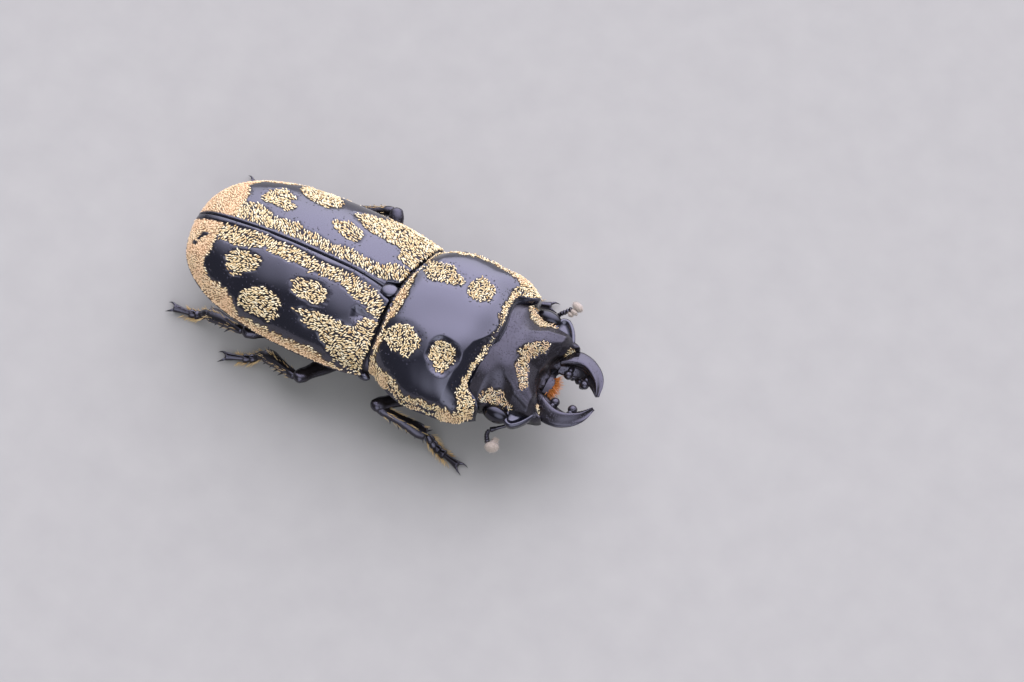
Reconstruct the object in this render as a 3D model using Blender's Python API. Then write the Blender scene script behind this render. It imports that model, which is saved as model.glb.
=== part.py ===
# A reticulate stag beetle at life size: polished black plates with sunken spots, on six feet.
# X runs from the tail to the head, Y to the beetle's left and Z up; the feet stand on Z = 0.
# All sizes below are in millimetres, and the finished meshes are scaled to metres.

import math
import random

import bmesh
import bpy
import numpy as np
from mathutils import Vector

MM = 0.001
GAP = 0.3
SIDES = {"left": 1, "right": -1}

# Elytra: the two wing cases are halves of one domed form
ELYTRA_BASE_X = -0.08
ELYTRA_WIDEST_X = -2.1
ELYTRA_TAIL_X = -9.2
ELYTRA_HALF_WIDTH = 3.58
ELYTRA_TOP_Z = 4.95
ELYTRA_EDGE_Z = 2.88
ELYTRA_APEX_Z = 3.0
ELYTRA_THICKNESS = 0.45
ELYTRA_ROUNDNESS = 2.1
ELYTRA_BASE_DROP = 0.45
ELYTRA_SHOULDER_IN = 0.26
ELYTRA_SIDE_POWER = 0.76
ELYTRA_RISE_POWER = 0.92
SHOULDER_SHARE = 0.22
TAIL_SWING = math.radians(87.5)
TAIL_SPACING = 0.72

# Scutellum: the bead between the bases of the elytra
SCUTELLUM_FRONT_X = ELYTRA_BASE_X
SCUTELLUM_LENGTH = 0.62
SCUTELLUM_HALF_WIDTH = 0.46
SCUTELLUM_TOP_Z = 4.55
SCUTELLUM_CROWN = 0.22
SCUTELLUM_DEPTH = 0.45

# Pronotum: the wide shield behind the head
PRONOTUM_HIND_X = 0.22
PRONOTUM_FRONT_X = 4.82
PRONOTUM_ANGLE_X = 5.2
PRONOTUM_TOP_Z = 5.02
PRONOTUM_EDGE_Z = 2.85
PRONOTUM_UNDERSIDE_Z = 2.4
PRONOTUM_ROUNDNESS = 2.3
PRONOTUM_HALF_WIDTH = 3.69
HIND_CORNER_IN = 0.83
FRONT_CORNER_IN = 0.53
FRONT_DIP = 0.34
PIT_DEPTH = 0.17
PITS = ((1.45, 1.7, 0.82, 0.52), (3.2, 1.68, 0.62, 0.6))

# Head: a wedge with a hollow brow, a ridge to each front corner and a lobe before each eye
HEAD_REAR_X = 5.12
HEAD_FRONT_X = 6.95
HEAD_CORNER_X = 7.44
HEAD_CORNER_Y = 1.62
HEAD_REAR_Y = 2.28
EYE_NOTCH_Y = 1.76
HEAD_TOP_Z = 4.2
RIDGE_REAR_Y = 1.28
RIDGE_FRONT_Z = 3.6
RIDGE_SHARE = 2 / 3
BROW_START_X = 5.45
BROW_DEPTH = 0.85
CHEEK_SLOPE = 0.78
LOBE_TOP_Z = 3.08
HEAD_UNDERSIDE_Z = 1.75
LOBE_UNDERSIDE_Z = 2.62
EYE_CENTRE = (5.86, 2.42, 2.95)
EYE_RADII = (0.42, 0.34, 0.42)

# Mandibles: short sickles with two blunt inner teeth
MANDIBLE_THICKNESS = 0.62
MANDIBLE_POINTS = (
    (7.72, 1.42, 2.78), (8.2, 1.42, 2.78), (8.66, 1.12, 2.82), (8.97, 0.66, 2.88), (9.1, 0.3, 2.94),
)
MANDIBLE_BASE_HALF = 0.33
MANDIBLE_TIP_HALF = 0.09

# Mouth: the lip pad between the jaws, and the palps below
LABRUM_X = HEAD_FRONT_X + GAP
LABRUM_HALF_WIDTH = 0.52
LABRUM_TOP_Z = 2.62
LABRUM_DEPTH = 0.5
PALP_WIDTH = 0.5
PALP_POINTS = ((7.55, 0.95, 1.98), (7.9, 1.05, 1.72), (8.25, 0.9, 1.55))

# Trunk below the plates
BELLY_Z = 1.6
BREAST_Z = 1.5
THORAX_FRONT_X = -0.4
THORAX_REAR_X = -3.0
THORAX_FRONT_DROP = 0.35
ABDOMEN_RINGS = 5

# Legs: hip, knee, ankle and foot tip of each, as (x, distance from the midline, z)
FEMUR_WIDTH = 0.82
FEMUR_DEPTH = 0.62
TIBIA_WIDTH = 0.56
TARSUS_WIDTH = 0.52
TOE_Z = 0.19
KNEE_REACH = 0.3
SPINES = 4
SPINE_LENGTH = 0.5
SPINE_WIDTH = 0.26
CLAW_REACH = 0.36
CLAW_WIDTH = 0.22
LEG_POSES = {
    "front_left": ((3.1, 1.25, 1.06), (1.1, 3.95, 1.86), (3.35, 3.75, 0.78), (5.0, 4.2, TOE_Z)),
    "front_right": ((3.1, 1.25, 1.06), (1.02, 3.85, 1.86), (3.3, 3.6, 0.78), (4.9, 4.0, TOE_Z)),
    "middle_left": ((-1.1, 1.7, 1.06), (-2.35, 4.5, 1.92), (-4.35, 4.0, 0.8), (-6.0, 4.4, TOE_Z)),
    "middle_right": ((-1.1, 1.7, 1.06), (-2.4, 4.15, 1.86), (-4.4, 3.35, 0.8), (-5.95, 3.95, TOE_Z)),
    "hind_left": ((-2.6, 1.2, 1.04), (-5.3, 3.5, 1.72), (-7.35, 3.35, 0.78), (-8.95, 3.7, TOE_Z)),
    "hind_right": ((-2.6, 1.2, 1.04), (-5.35, 3.2, 1.68), (-7.4, 2.75, 0.78), (-8.95, 2.95, TOE_Z)),
}

# Feelers: the points of each stalk, and the way its club points
ANTENNA_WIDTH = 0.5
ANTENNA_ROUTES = {
    "left": ((6.4, 2.35, 2.0), (5.95, 2.85, 2.1), (6.1, 3.12, 2.5), (6.28, 3.18, 2.8), (6.36, 3.4, 2.92)),
    "right": ((6.4, 2.35, 2.0), (5.85, 2.65, 1.95), (5.72, 2.92, 2.0), (5.85, 3.15, 2.1), (5.98, 3.45, 2.1)),
}
CLUB_DIRECTIONS = {"left": (0.9, 0.1, 0.35), "right": (0.95, -0.15, 0.05)}
CLUB_LEAVES = ((0.5, -0.2), (0.58, 0.05), (0.66, 0.3))

# Finishes: sRGB colour, roughness and metallic value
FINISHES = {
    "polished_cuticle": ((0.045, 0.045, 0.060), 0.18, 0.0),
    "satin_cuticle": ((0.070, 0.066, 0.072), 0.38, 0.0),
    "eye_lens": ((0.020, 0.018, 0.018), 0.08, 0.0),
    "amber_bristle": ((0.560, 0.270, 0.080), 0.55, 0.0),
    "pubescent_club": ((0.520, 0.480, 0.430), 0.75, 0.0),
}


def clear_scene():
    for item in list(bpy.data.objects):
        bpy.data.objects.remove(item, do_unlink=True)


def new_collection(name):
    group = bpy.data.collections.new(name)
    bpy.context.scene.collection.children.link(group)
    return group


def make_material(name, finish):
    colour, roughness, metallic = FINISHES[finish]
    material = bpy.data.materials.new(name)
    material.use_nodes = True
    shader = material.node_tree.nodes["Principled BSDF"]
    linear = [((c + 0.055) / 1.055) ** 2.4 if c > 0.04045 else c / 12.92 for c in colour]
    shader.inputs["Base Color"].default_value = (*linear, 1.0)
    shader.inputs["Roughness"].default_value = roughness
    shader.inputs["Metallic"].default_value = metallic
    return material


def turn_outward(bm):
    bmesh.ops.recalc_face_normals(bm, faces=bm.faces)
    if bm.calc_volume(signed=True) < 0:
        bmesh.ops.reverse_faces(bm, faces=bm.faces)


def add_part(name, bm, finish, group):
    # The mesh arrives in millimetres, with its faces turned outward here
    turn_outward(bm)
    bmesh.ops.triangulate(bm, faces=bm.faces)
    bmesh.ops.scale(bm, vec=(MM, MM, MM), verts=bm.verts)
    mesh = bpy.data.meshes.new(name)
    bm.to_mesh(mesh)
    bm.free()
    mesh.shade_smooth()
    mesh.set_sharp_from_angle(angle=math.radians(50))
    part = bpy.data.objects.new(name, mesh)
    part.data.materials.append(make_material(f"{name}_{finish}", finish))
    group.objects.link(part)
    return part


def clamp01(value):
    return max(0.0, min(1.0, value))


def smooth_step(start, end, value):
    share = clamp01((value - start) / (end - start))
    return share * share * (3 - 2 * share)


def bump(value, centre, half_width):
    # A smooth hill of height 1, gone at the given half width
    share = abs(value - centre) / half_width
    return 0.0 if share >= 1 else (1 - share * share) ** 2


def mix(first, second, share):
    return first + (second - first) * share


def arch(angle, power):
    # A point of the unit superellipse, with the angle measured from straight up
    across = math.copysign(abs(math.sin(angle)) ** (2 / power), math.sin(angle))
    rise = math.copysign(abs(math.cos(angle)) ** (2 / power), math.cos(angle))
    return across, rise


def slab(columns, rows, outer, inner):
    # A closed plate from one grid, whose two faces follow the formulas outer and inner
    bm = bmesh.new()
    bmesh.ops.create_grid(bm, x_segments=columns, y_segments=rows, size=0.5)
    bmesh.ops.solidify(bm, geom=list(bm.faces), thickness=1.0)
    levels = [vertex.co.z for vertex in bm.verts]
    middle = (min(levels) + max(levels)) / 2
    for vertex in bm.verts:
        u = clamp01(vertex.co.x + 0.5)
        v = clamp01(vertex.co.y + 0.5)
        surface = outer if vertex.co.z > middle else inner
        vertex.co = surface(u, v)
    return bm


def loft(rings):
    # A closed form through rings of equal counts, with a point at the middle of each end
    bm = bmesh.new()
    loops = [[bm.verts.new(point) for point in ring] for ring in rings]
    for near, far in zip(loops, loops[1:]):
        for index in range(len(near)):
            following = (index + 1) % len(near)
            bm.faces.new((near[index], near[following], far[following], far[index]))
    for loop in (loops[0], loops[-1]):
        centre = bm.verts.new(sum((vertex.co for vertex in loop), Vector()) / len(loop))
        for index in range(len(loop)):
            bm.faces.new((loop[index], loop[(index + 1) % len(loop)], centre))
    return bm


def smooth_route(points, stations):
    # Evenly spaced stations on a Catmull-Rom curve through the points
    knots = [Vector(point) for point in points]
    knots = [2 * knots[0] - knots[1], *knots, 2 * knots[-1] - knots[-2]]
    route = []
    spans = len(knots) - 3
    for station in range(stations):
        place = station / (stations - 1) * spans
        span = min(int(place), spans - 1)
        t = place - span
        a, b, c, d = knots[span:span + 4]
        route.append(0.5 * (2 * b + (c - a) * t + (2 * a - 5 * b + 4 * c - d) * t ** 2
                            + (3 * b - a - 3 * c + d) * t ** 3))
    return route


def limb_rings(route, widths, depths, segments, floor_z=None):
    # Oval rings along a route; a width lies level and a depth stands across it
    rings = []
    side = Vector((0, 1, 0))
    for index, centre in enumerate(route):
        ahead = route[min(index + 1, len(route) - 1)]
        behind = route[max(index - 1, 0)]
        course = (ahead - behind).normalized()
        level = course.cross(Vector((0, 0, 1)))
        if level.length > 0.15:
            side = level.normalized()
        upward = side.cross(course).normalized()
        ring = []
        for step in range(segments):
            angle = 2 * math.pi * (step + 0.5) / segments
            point = centre + side * (widths[index] / 2 * math.cos(angle))
            point += upward * (depths[index] / 2 * math.sin(angle))
            if floor_z is not None:
                point.z = max(point.z, floor_z)
            ring.append(point)
        rings.append(ring)
    return rings


def temporary_object(bm, name, group):
    turn_outward(bm)
    mesh = bpy.data.meshes.new(name)
    bm.to_mesh(mesh)
    bm.free()
    item = bpy.data.objects.new(name, mesh)
    item.hide_render = True
    item.display_type = "WIRE"
    group.objects.link(item)
    return item


def keep_largest(bm):
    # Only the closed surface with the most faces stays
    waiting = set(bm.faces)
    surfaces = []
    while waiting:
        reached = [waiting.pop()]
        surface = set(reached)
        while reached:
            face = reached.pop()
            for edge in face.edges:
                for neighbour in edge.link_faces:
                    if neighbour in waiting:
                        waiting.remove(neighbour)
                        surface.add(neighbour)
                        reached.append(neighbour)
        surfaces.append(surface)
    largest = max(surfaces, key=len)
    loose = [face for surface in surfaces if surface is not largest for face in surface]
    bmesh.ops.delete(bm, geom=loose, context="FACES")


def fuse(stem, pieces, cutters, solver="EXACT"):
    # One Boolean union of a stem with all the pieces rooted in it
    base = temporary_object(stem, "stem", cutters)
    batch = bpy.data.collections.new("batch")
    cutters.children.link(batch)
    for index, piece in enumerate(pieces):
        temporary_object(piece, f"piece_{index}", batch)
    union = base.modifiers.new("union", "BOOLEAN")
    union.operation = "UNION"
    union.operand_type = "COLLECTION"
    union.collection = batch
    union.solver = solver
    bpy.context.view_layer.update()
    evaluated = base.evaluated_get(bpy.context.evaluated_depsgraph_get())
    fused = bpy.data.meshes.new_from_object(evaluated)
    bm = bmesh.new()
    bm.from_mesh(fused)
    keep_largest(bm)
    for item in [*batch.objects, base]:
        bpy.data.objects.remove(item, do_unlink=True)
    bpy.data.collections.remove(batch)
    bpy.data.meshes.remove(fused)
    return bm


def spike(root, tip, root_width, segments=5):
    # A tapered point from a cone primitive, blunt enough to keep its tip
    axis = Vector(tip) - Vector(root)
    bm = bmesh.new()
    bmesh.ops.create_cone(bm, cap_ends=True, segments=segments, radius1=root_width / 2,
                          radius2=root_width / 9, depth=axis.length)
    turn = Vector((0, 0, 1)).rotation_difference(axis).to_matrix()
    bmesh.ops.rotate(bm, verts=bm.verts, cent=(0, 0, 0), matrix=turn)
    bmesh.ops.translate(bm, verts=bm.verts, vec=(Vector(root) + Vector(tip)) / 2)
    return bm


def tail_length(inset):
    # An inner layer is drawn in a little more at the tail than at the sides
    return ELYTRA_WIDEST_X - ELYTRA_TAIL_X - 1.3 * inset


def elytra_x(u, inset):
    # Stations crowd together where the tail rounds off
    if u < SHOULDER_SHARE:
        return mix(ELYTRA_BASE_X, ELYTRA_WIDEST_X, u / SHOULDER_SHARE)
    swing = (u - SHOULDER_SHARE) / (1 - SHOULDER_SHARE) * TAIL_SWING
    return ELYTRA_WIDEST_X - tail_length(inset) * math.sin(swing) ** TAIL_SPACING


def elytra_profile(x, inset):
    # Half width, margin height and rise of the dome above the margin at x
    width = ELYTRA_HALF_WIDTH - inset
    height = ELYTRA_TOP_Z - ELYTRA_EDGE_Z - inset
    if x > ELYTRA_WIDEST_X:
        share = (x - ELYTRA_WIDEST_X) / (ELYTRA_BASE_X - ELYTRA_WIDEST_X)
        return width - ELYTRA_SHOULDER_IN * share ** 2, ELYTRA_EDGE_Z, height - ELYTRA_BASE_DROP * share ** 2
    share = clamp01((ELYTRA_WIDEST_X - x) / tail_length(inset)) ** (1 / TAIL_SPACING)
    closing = math.sqrt(max(1 - share * share, 0.0005))
    edge_z = mix(ELYTRA_EDGE_Z, ELYTRA_APEX_Z, smooth_step(0.55, 1.0, share))
    rise = height * closing ** ELYTRA_RISE_POWER * (1 - 0.12 * share ** 2)
    return width * closing ** ELYTRA_SIDE_POWER, edge_z, rise


def elytron_surface(side, inset):
    def surface(u, v):
        x = elytra_x(u, inset)
        half_width, edge_z, rise = elytra_profile(x, inset)
        across, lift = arch(v * math.pi / 2, ELYTRA_ROUNDNESS)
        y = GAP / 2 + (half_width - GAP / 2) * across
        notch = SCUTELLUM_LENGTH + GAP
        if u < SHOULDER_SHARE:
            x -= notch * (1 - smooth_step(0.35, 0.95, y)) * (1 - u / SHOULDER_SHARE)
        return Vector((x, side * y, edge_z + rise * lift))
    return surface


def make_elytra(group):
    for label, side in SIDES.items():
        shell = slab(22, 11, elytron_surface(side, 0.0), elytron_surface(side, ELYTRA_THICKNESS))
        add_part(f"elytron_{label}", shell, "polished_cuticle", group)


def make_scutellum(group):
    # A small bead shaped like a shield, its point towards the tail
    def top(u, v):
        x = SCUTELLUM_FRONT_X - SCUTELLUM_LENGTH * u
        half_width = SCUTELLUM_HALF_WIDTH * math.sqrt(1.0001 - u ** 1.6)
        y = half_width * (2 * v - 1)
        crown = (1 - (2 * v - 1) ** 2) * (1 - (2 * u - 1) ** 2)
        return Vector((x, y, SCUTELLUM_TOP_Z - SCUTELLUM_CROWN * (1 - crown)))

    def underside(u, v):
        point = top(u, v)
        point.z = SCUTELLUM_TOP_Z - SCUTELLUM_DEPTH
        return point

    bead = slab(6, 6, top, underside)
    bmesh.ops.remove_doubles(bead, verts=bead.verts, dist=0.01)
    add_part("scutellum", bead, "polished_cuticle", group)


def pronotum_half_width(u):
    # Narrowest at the hind corners, widest before the middle, drawn in at the front corners
    hind = HIND_CORNER_IN * clamp01(1 - u / 0.38) ** 2
    front = 0.11 * smooth_step(0.4, 0.75, u) + FRONT_CORNER_IN * clamp01((u - 0.75) / 0.25) ** 2
    return PRONOTUM_HALF_WIDTH - hind - front


def pronotum_x(u, across):
    # The hind edge is nearly straight; the front edge bulges, dips and reaches its corners
    spread = abs(across)
    hind = PRONOTUM_HIND_X + 0.2 * smooth_step(0.0, 0.75, spread)
    front = PRONOTUM_FRONT_X - FRONT_DIP * smooth_step(0.15, 0.62, spread)
    front += (PRONOTUM_ANGLE_X - PRONOTUM_FRONT_X + FRONT_DIP) * smooth_step(0.68, 1.0, spread)
    return mix(hind, front, u)


def pronotum_top(u, v):
    across, lift = arch((2 * v - 1) * math.pi / 2, PRONOTUM_ROUNDNESS)
    x = pronotum_x(u, across)
    y = pronotum_half_width(u) * across
    edge_z = PRONOTUM_EDGE_Z - 0.15 * u
    crown = PRONOTUM_TOP_Z - 0.2 * (1 - smooth_step(0.0, 0.16, u))
    crown -= 0.42 * smooth_step(0.62, 1.0, u) ** 1.4
    z = edge_z + (crown - edge_z) * lift
    for pit_x, pit_y, half_length, half_width in PITS:
        reach = math.hypot((x - pit_x) / half_length, (abs(y) - pit_y) / half_width)
        z -= PIT_DEPTH * (1 - smooth_step(0.45, 1.25, reach))
    return Vector((x, y, z))


def pronotum_underside(u, v):
    point = pronotum_top(u, v)
    share = abs(2 * v - 1)
    point.x = mix(point.x, mix(PRONOTUM_HIND_X, PRONOTUM_FRONT_X, u), 0.25)
    point.y *= 0.95
    point.z = PRONOTUM_UNDERSIDE_Z + 0.12 * share ** 4
    return point


def make_pronotum(group):
    shield = slab(19, 24, pronotum_top, pronotum_underside)
    add_part("pronotum", shield, "polished_cuticle", group)


def oval_ring(x, half_width, middle_z, top_z, bottom_z, segments, power=2.2):
    ring = []
    for step in range(segments):
        across, lift = arch(2 * math.pi * step / segments, power)
        height = top_z - middle_z if lift > 0 else middle_z - bottom_z
        ring.append(Vector((x, half_width * across, middle_z + height * lift)))
    return ring


def make_prosternum(group):
    # The underside of the first body ring, between the front legs
    rings = []
    top_z = PRONOTUM_UNDERSIDE_Z - GAP
    for share in np.linspace(0, 1, 9):
        x = mix(0.3, 4.85, share)
        swell = math.sin(math.pi * (0.1 + 0.8 * share)) ** 0.4
        bottom_z = mix(top_z, BREAST_Z, swell)
        rings.append(oval_ring(x, mix(2.0, 2.6, swell), top_z - 0.12, top_z, bottom_z, 20, 2.0))
    add_part("prosternum", loft(rings), "satin_cuticle", group)


def trunk_ring(x, belly_z, groove=0.0):
    # A ring that stays a gap inside the elytra above and curves into the belly below
    inset = ELYTRA_THICKNESS + GAP
    half_width, middle_z, rise = elytra_profile(x, inset)
    rise -= THORAX_FRONT_DROP * smooth_step(-1.4, THORAX_FRONT_X, x)
    taper = half_width / (ELYTRA_HALF_WIDTH - inset)
    bottom_z = middle_z - (middle_z - belly_z) * taper ** 0.8 + groove
    return oval_ring(x, half_width - groove, middle_z, middle_z + rise, bottom_z, 24)


def make_trunk(group):
    # The middle and hind body rings carry four legs; the abdomen has five belly plates
    rings = [trunk_ring(x, BREAST_Z) for x in np.linspace(THORAX_FRONT_X, THORAX_REAR_X, 7)]
    add_part("thorax", loft(rings), "satin_cuticle", group)
    start = THORAX_REAR_X - GAP
    tip = ELYTRA_WIDEST_X - tail_length(ELYTRA_THICKNESS + GAP) + 0.03
    rings = []
    for plate in range(ABDOMEN_RINGS):
        for share, groove in ((0.0, 0.09), (0.22, 0.0), (0.72, 0.0), (0.97, 0.02)):
            x = mix(tip, start, (1 - (plate + share) / ABDOMEN_RINGS) ** 1.25)
            rings.append(trunk_ring(x, BELLY_Z, groove if plate else 0.0))
    add_part("abdomen", loft(rings), "satin_cuticle", group)


def ridge_y(x):
    share = (x - HEAD_REAR_X) / (HEAD_CORNER_X - HEAD_REAR_X)
    return mix(RIDGE_REAR_Y, HEAD_CORNER_Y, clamp01(share) ** 1.4)


def ridge_z(x):
    return mix(HEAD_TOP_Z - 0.08, RIDGE_FRONT_Z, smooth_step(HEAD_REAR_X, HEAD_CORNER_X - 0.1, x))


def head_height(x, y):
    # Level between the ridges, hollow before a V on the brow, sloping to the cheeks outside
    spread = abs(y)
    ridge = ridge_y(x)
    if spread > ridge:
        cheek = ridge_z(x) - CHEEK_SLOPE * (spread - ridge)
        return max(cheek, LOBE_TOP_Z)
    crown = ridge_z(x) + 0.09 * (1 - (spread / ridge) ** 2)
    brow_x = BROW_START_X + 0.8 * spread + 0.22 * spread ** 2
    hollow = clamp01((x - brow_x) / (HEAD_FRONT_X - BROW_START_X))
    return crown - BROW_DEPTH * hollow ** 1.15


def head_half_width(u):
    # In at the eye, out at the lobe in front of it, and in again at the front corner
    lobe_y = 0.98 * smooth_step(0.53, 0.64, u) - 0.88 * smooth_step(0.7, 0.98, u)
    return EYE_NOTCH_Y + (HEAD_REAR_Y - EYE_NOTCH_Y) * (1 - smooth_step(0.06, 0.2, u)) + lobe_y


def head_plan(u, v):
    # The ridge keeps to one line of the grid, so that its crest is clean
    across = 2 * v - 1
    spread = abs(across)
    rear = HEAD_REAR_X - 0.26 * smooth_step(0.2, 0.8, spread)
    front = mix(HEAD_FRONT_X, HEAD_CORNER_X, min(spread / RIDGE_SHARE, 1.0) ** 1.8)
    x = mix(rear, front, u)
    if spread < RIDGE_SHARE:
        y = ridge_y(x) * spread / RIDGE_SHARE
    else:
        y = mix(ridge_y(x), head_half_width(u), (spread - RIDGE_SHARE) / (1 - RIDGE_SHARE))
    return x, math.copysign(y, across)


def head_top(u, v):
    x, y = head_plan(u, v)
    return Vector((x, y, head_height(x, y)))


def head_underside(u, v):
    x, y = head_plan(u, v)
    chin = HEAD_UNDERSIDE_Z + 0.35 * (2 * u - 1) ** 2 + 0.12 * y * y
    z = mix(min(chin, 2.5), LOBE_UNDERSIDE_Z, smooth_step(1.72, 1.95, abs(y)))
    return Vector((x, y, z))


def make_head(group):
    add_part("head", slab(22, 24, head_top, head_underside), "satin_cuticle", group)


def make_eyes(group):
    for label, side in SIDES.items():
        bm = bmesh.new()
        bmesh.ops.create_uvsphere(bm, u_segments=16, v_segments=10, radius=1.0)
        bmesh.ops.scale(bm, vec=EYE_RADII, verts=bm.verts)
        centre = Vector(EYE_CENTRE)
        centre.y *= side
        bmesh.ops.translate(bm, verts=bm.verts, vec=centre)
        add_part(f"eye_{label}", bm, "eye_lens", group)


def mandible_rings(side, segments=12, stations=26):
    # A sickle from the cheek to its tip, with two teeth swelling from its inner edge
    route = smooth_route(MANDIBLE_POINTS, stations)
    rings = []
    for index, centre in enumerate(route):
        share = index / (stations - 1)
        ahead = route[min(index + 1, stations - 1)]
        behind = route[max(index - 1, 0)]
        course = (ahead - behind).normalized()
        inward = Vector((0, 0, 1)).cross(course).normalized() * -1
        half = mix(MANDIBLE_BASE_HALF, MANDIBLE_TIP_HALF, share ** 1.6)
        tooth = 0.52 * bump(share, 0.12, 0.16) + 0.42 * bump(share, 0.5, 0.14)
        thick = mix(MANDIBLE_THICKNESS, 0.22, share ** 1.8) / 2
        ring = []
        for step in range(segments):
            angle = 2 * math.pi * step / segments
            reach = half * math.cos(angle)
            if reach < 0:
                reach -= tooth * math.cos(angle) ** 2
            point = centre - inward * reach
            point.z += thick * math.sin(angle) * (1 - 0.45 * tooth * max(0.0, -math.cos(angle)))
            point.y *= side
            ring.append(point)
        rings.append(ring)
    return rings


def make_mandibles(group):
    for label, side in SIDES.items():
        add_part(f"mandible_{label}", loft(mandible_rings(side)), "polished_cuticle", group)


def make_mouth(group):
    # The lip pad with its amber fringe, and a jointed palp on either side below the jaws
    def top(u, v):
        across = 2 * v - 1
        x = LABRUM_X + 0.3 * u + 0.12 * across ** 2
        return Vector((x, LABRUM_HALF_WIDTH * across, LABRUM_TOP_Z - 0.1 * u))

    def underside(u, v):
        point = top(u, v)
        point.z -= LABRUM_DEPTH
        return point

    add_part("labrum", slab(4, 6, top, underside), "amber_bristle", group)
    for label, side in SIDES.items():
        route = smooth_route([(x, side * y, z) for x, y, z in PALP_POINTS], 9)
        sizes = [PALP_WIDTH * (1 - 0.16 * abs(math.cos(3 * math.pi * k / 8))) for k in range(9)]
        sizes[0] = sizes[-1] = 0.3
        rings = limb_rings(route, sizes, sizes, 8)
        add_part(f"palp_{label}", loft(rings), "satin_cuticle", group)


def make_antennae(group, cutters):
    # An elbowed stalk of beads that ends in a club of three flat leaves
    for label, side in SIDES.items():
        route = smooth_route([(x, side * y, z) for x, y, z in ANTENNA_ROUTES[label]], 15)
        sizes = []
        for index in range(15):
            beads = 0.0 if index < 6 else 0.07 * abs(math.cos(math.pi * index / 2))
            sizes.append(ANTENNA_WIDTH - beads)
        sizes[0] = 0.34
        stem = loft(limb_rings(route, sizes, sizes, 8))
        direction = Vector(CLUB_DIRECTIONS[label])
        direction.y *= side
        direction.normalize()
        spread = (route[-1] - route[-3]).normalized()
        leaves = []
        for length, shift in CLUB_LEAVES:
            bm = bmesh.new()
            bmesh.ops.create_uvsphere(bm, u_segments=10, v_segments=7, radius=0.5)
            bmesh.ops.scale(bm, vec=(0.34, 0.5, length), verts=bm.verts)
            turn = Vector((0, 0, 1)).rotation_difference(direction).to_matrix()
            bmesh.ops.rotate(bm, verts=bm.verts, cent=(0, 0, 0), matrix=turn)
            place = route[-2] + spread * shift + direction * (length / 2 - 0.12)
            bmesh.ops.translate(bm, verts=bm.verts, vec=place)
            leaves.append(bm)
        feeler = fuse(stem, leaves, cutters, solver="MANIFOLD")
        add_part(f"antenna_{label}", feeler, "pubescent_club", group)


def leg_points(name):
    side = SIDES[name.split("_")[1]]
    return [Vector((x, side * y, z)) for x, y, z in LEG_POSES[name]]


def make_femur(name, hip, knee, group):
    # Club shaped: slim at the hip, full in the middle and knobbed at the knee
    bend = (hip + knee) / 2 - Vector((0, 0, 0.06))
    route = smooth_route((hip, bend, knee), 12)
    profile = [0.5, 0.78, 0.92, 1.0, 1.04, 1.04, 1.0, 0.94, 0.86, 0.82, 0.78, 0.46]
    widths = [FEMUR_WIDTH * share for share in profile]
    depths = [FEMUR_DEPTH * share for share in profile]
    add_part(f"femur_{name}", loft(limb_rings(route, widths, depths, 10)), "polished_cuticle", group)


def make_tibia(name, knee, ankle, group, cutters, draw):
    # A blade that widens to the ankle, with a comb of spines along its outer edge
    axis = (ankle - knee).normalized()
    near = knee + axis * (KNEE_REACH + GAP)
    far = ankle - axis * 0.12
    route = smooth_route((near, (near + far) / 2, far), 10)
    profile = [0.7, 0.96, 0.98, 0.98, 1.0, 1.04, 1.1, 1.18, 1.24, 0.95]
    widths = [TIBIA_WIDTH * share for share in profile]
    depths = [TIBIA_WIDTH * 0.9 * min(share, 1.0) for share in profile]
    stem = loft(limb_rings(route, widths, depths, 8))
    outward = Vector((0, math.copysign(1.0, knee.y), 0))
    outward = (outward - axis * outward.dot(axis)).normalized()
    spines = []
    for index in range(SPINES):
        root = near.lerp(far, 0.3 + 0.62 * index / (SPINES - 1))
        length = SPINE_LENGTH * draw.uniform(1.0, 1.14)
        lean = (outward + 0.75 * axis + Vector((0, 0, 0.12 * draw.uniform(-1, 1)))).normalized()
        spines.append(spike(root, root + lean * length, SPINE_WIDTH))
    for turn in (-1, 1):
        lean = (axis + 0.85 * turn * outward).normalized()
        root = far - axis * 0.2
        tip = root + lean * SPINE_LENGTH
        tip.z = max(tip.z, 0.3)
        spines.append(spike(root, tip, SPINE_WIDTH))
    add_part(f"tibia_{name}", fuse(stem, spines, cutters), "polished_cuticle", group)


def make_tarsus(name, ankle, toe, group, cutters):
    # Five beads laid flat on the floor and a pair of claws
    axis = (toe - ankle).normalized()
    heel = ankle + axis * (GAP - 0.06)
    landing = heel.lerp(toe, 0.3)
    landing.z = toe.z
    heel.z = min(heel.z, ankle.z - 0.1)
    route = smooth_route((heel, landing, toe), 16)
    sizes = [TARSUS_WIDTH * (0.8 + 0.24 * abs(math.sin(math.pi * k / 3))) for k in range(16)]
    sizes[0] = 0.3
    sizes[-1] = 0.34
    stem = loft(limb_rings(route, sizes, sizes, 8, floor_z=0.0))
    course = (toe - landing).normalized()
    across = course.cross(Vector((0, 0, 1)))
    claws = []
    for turn in (-1, 1):
        root = toe - course * 0.12 + across * (0.06 * turn)
        tip = toe + course * CLAW_REACH + across * (0.24 * turn)
        tip.z = 0.08
        claws.append(spike(root, tip, CLAW_WIDTH))
    add_part(f"tarsus_{name}", fuse(stem, claws, cutters), "satin_cuticle", group)


def make_legs(group, cutters):
    draw = random.Random(7)
    for name in LEG_POSES:
        hip, knee, ankle, toe = leg_points(name)
        make_femur(name, hip, knee, group)
        make_tibia(name, knee, ankle, group, cutters, draw)
        make_tarsus(name, ankle, toe, group, cutters)


def main():
    clear_scene()
    group = new_collection("stag_beetle")
    cutters = new_collection("cutters")
    make_elytra(group)
    make_scutellum(group)
    make_pronotum(group)
    make_prosternum(group)
    make_trunk(group)
    make_head(group)
    make_eyes(group)
    make_mandibles(group)
    make_mouth(group)
    make_antennae(group, cutters)
    make_legs(group, cutters)


main()
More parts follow.
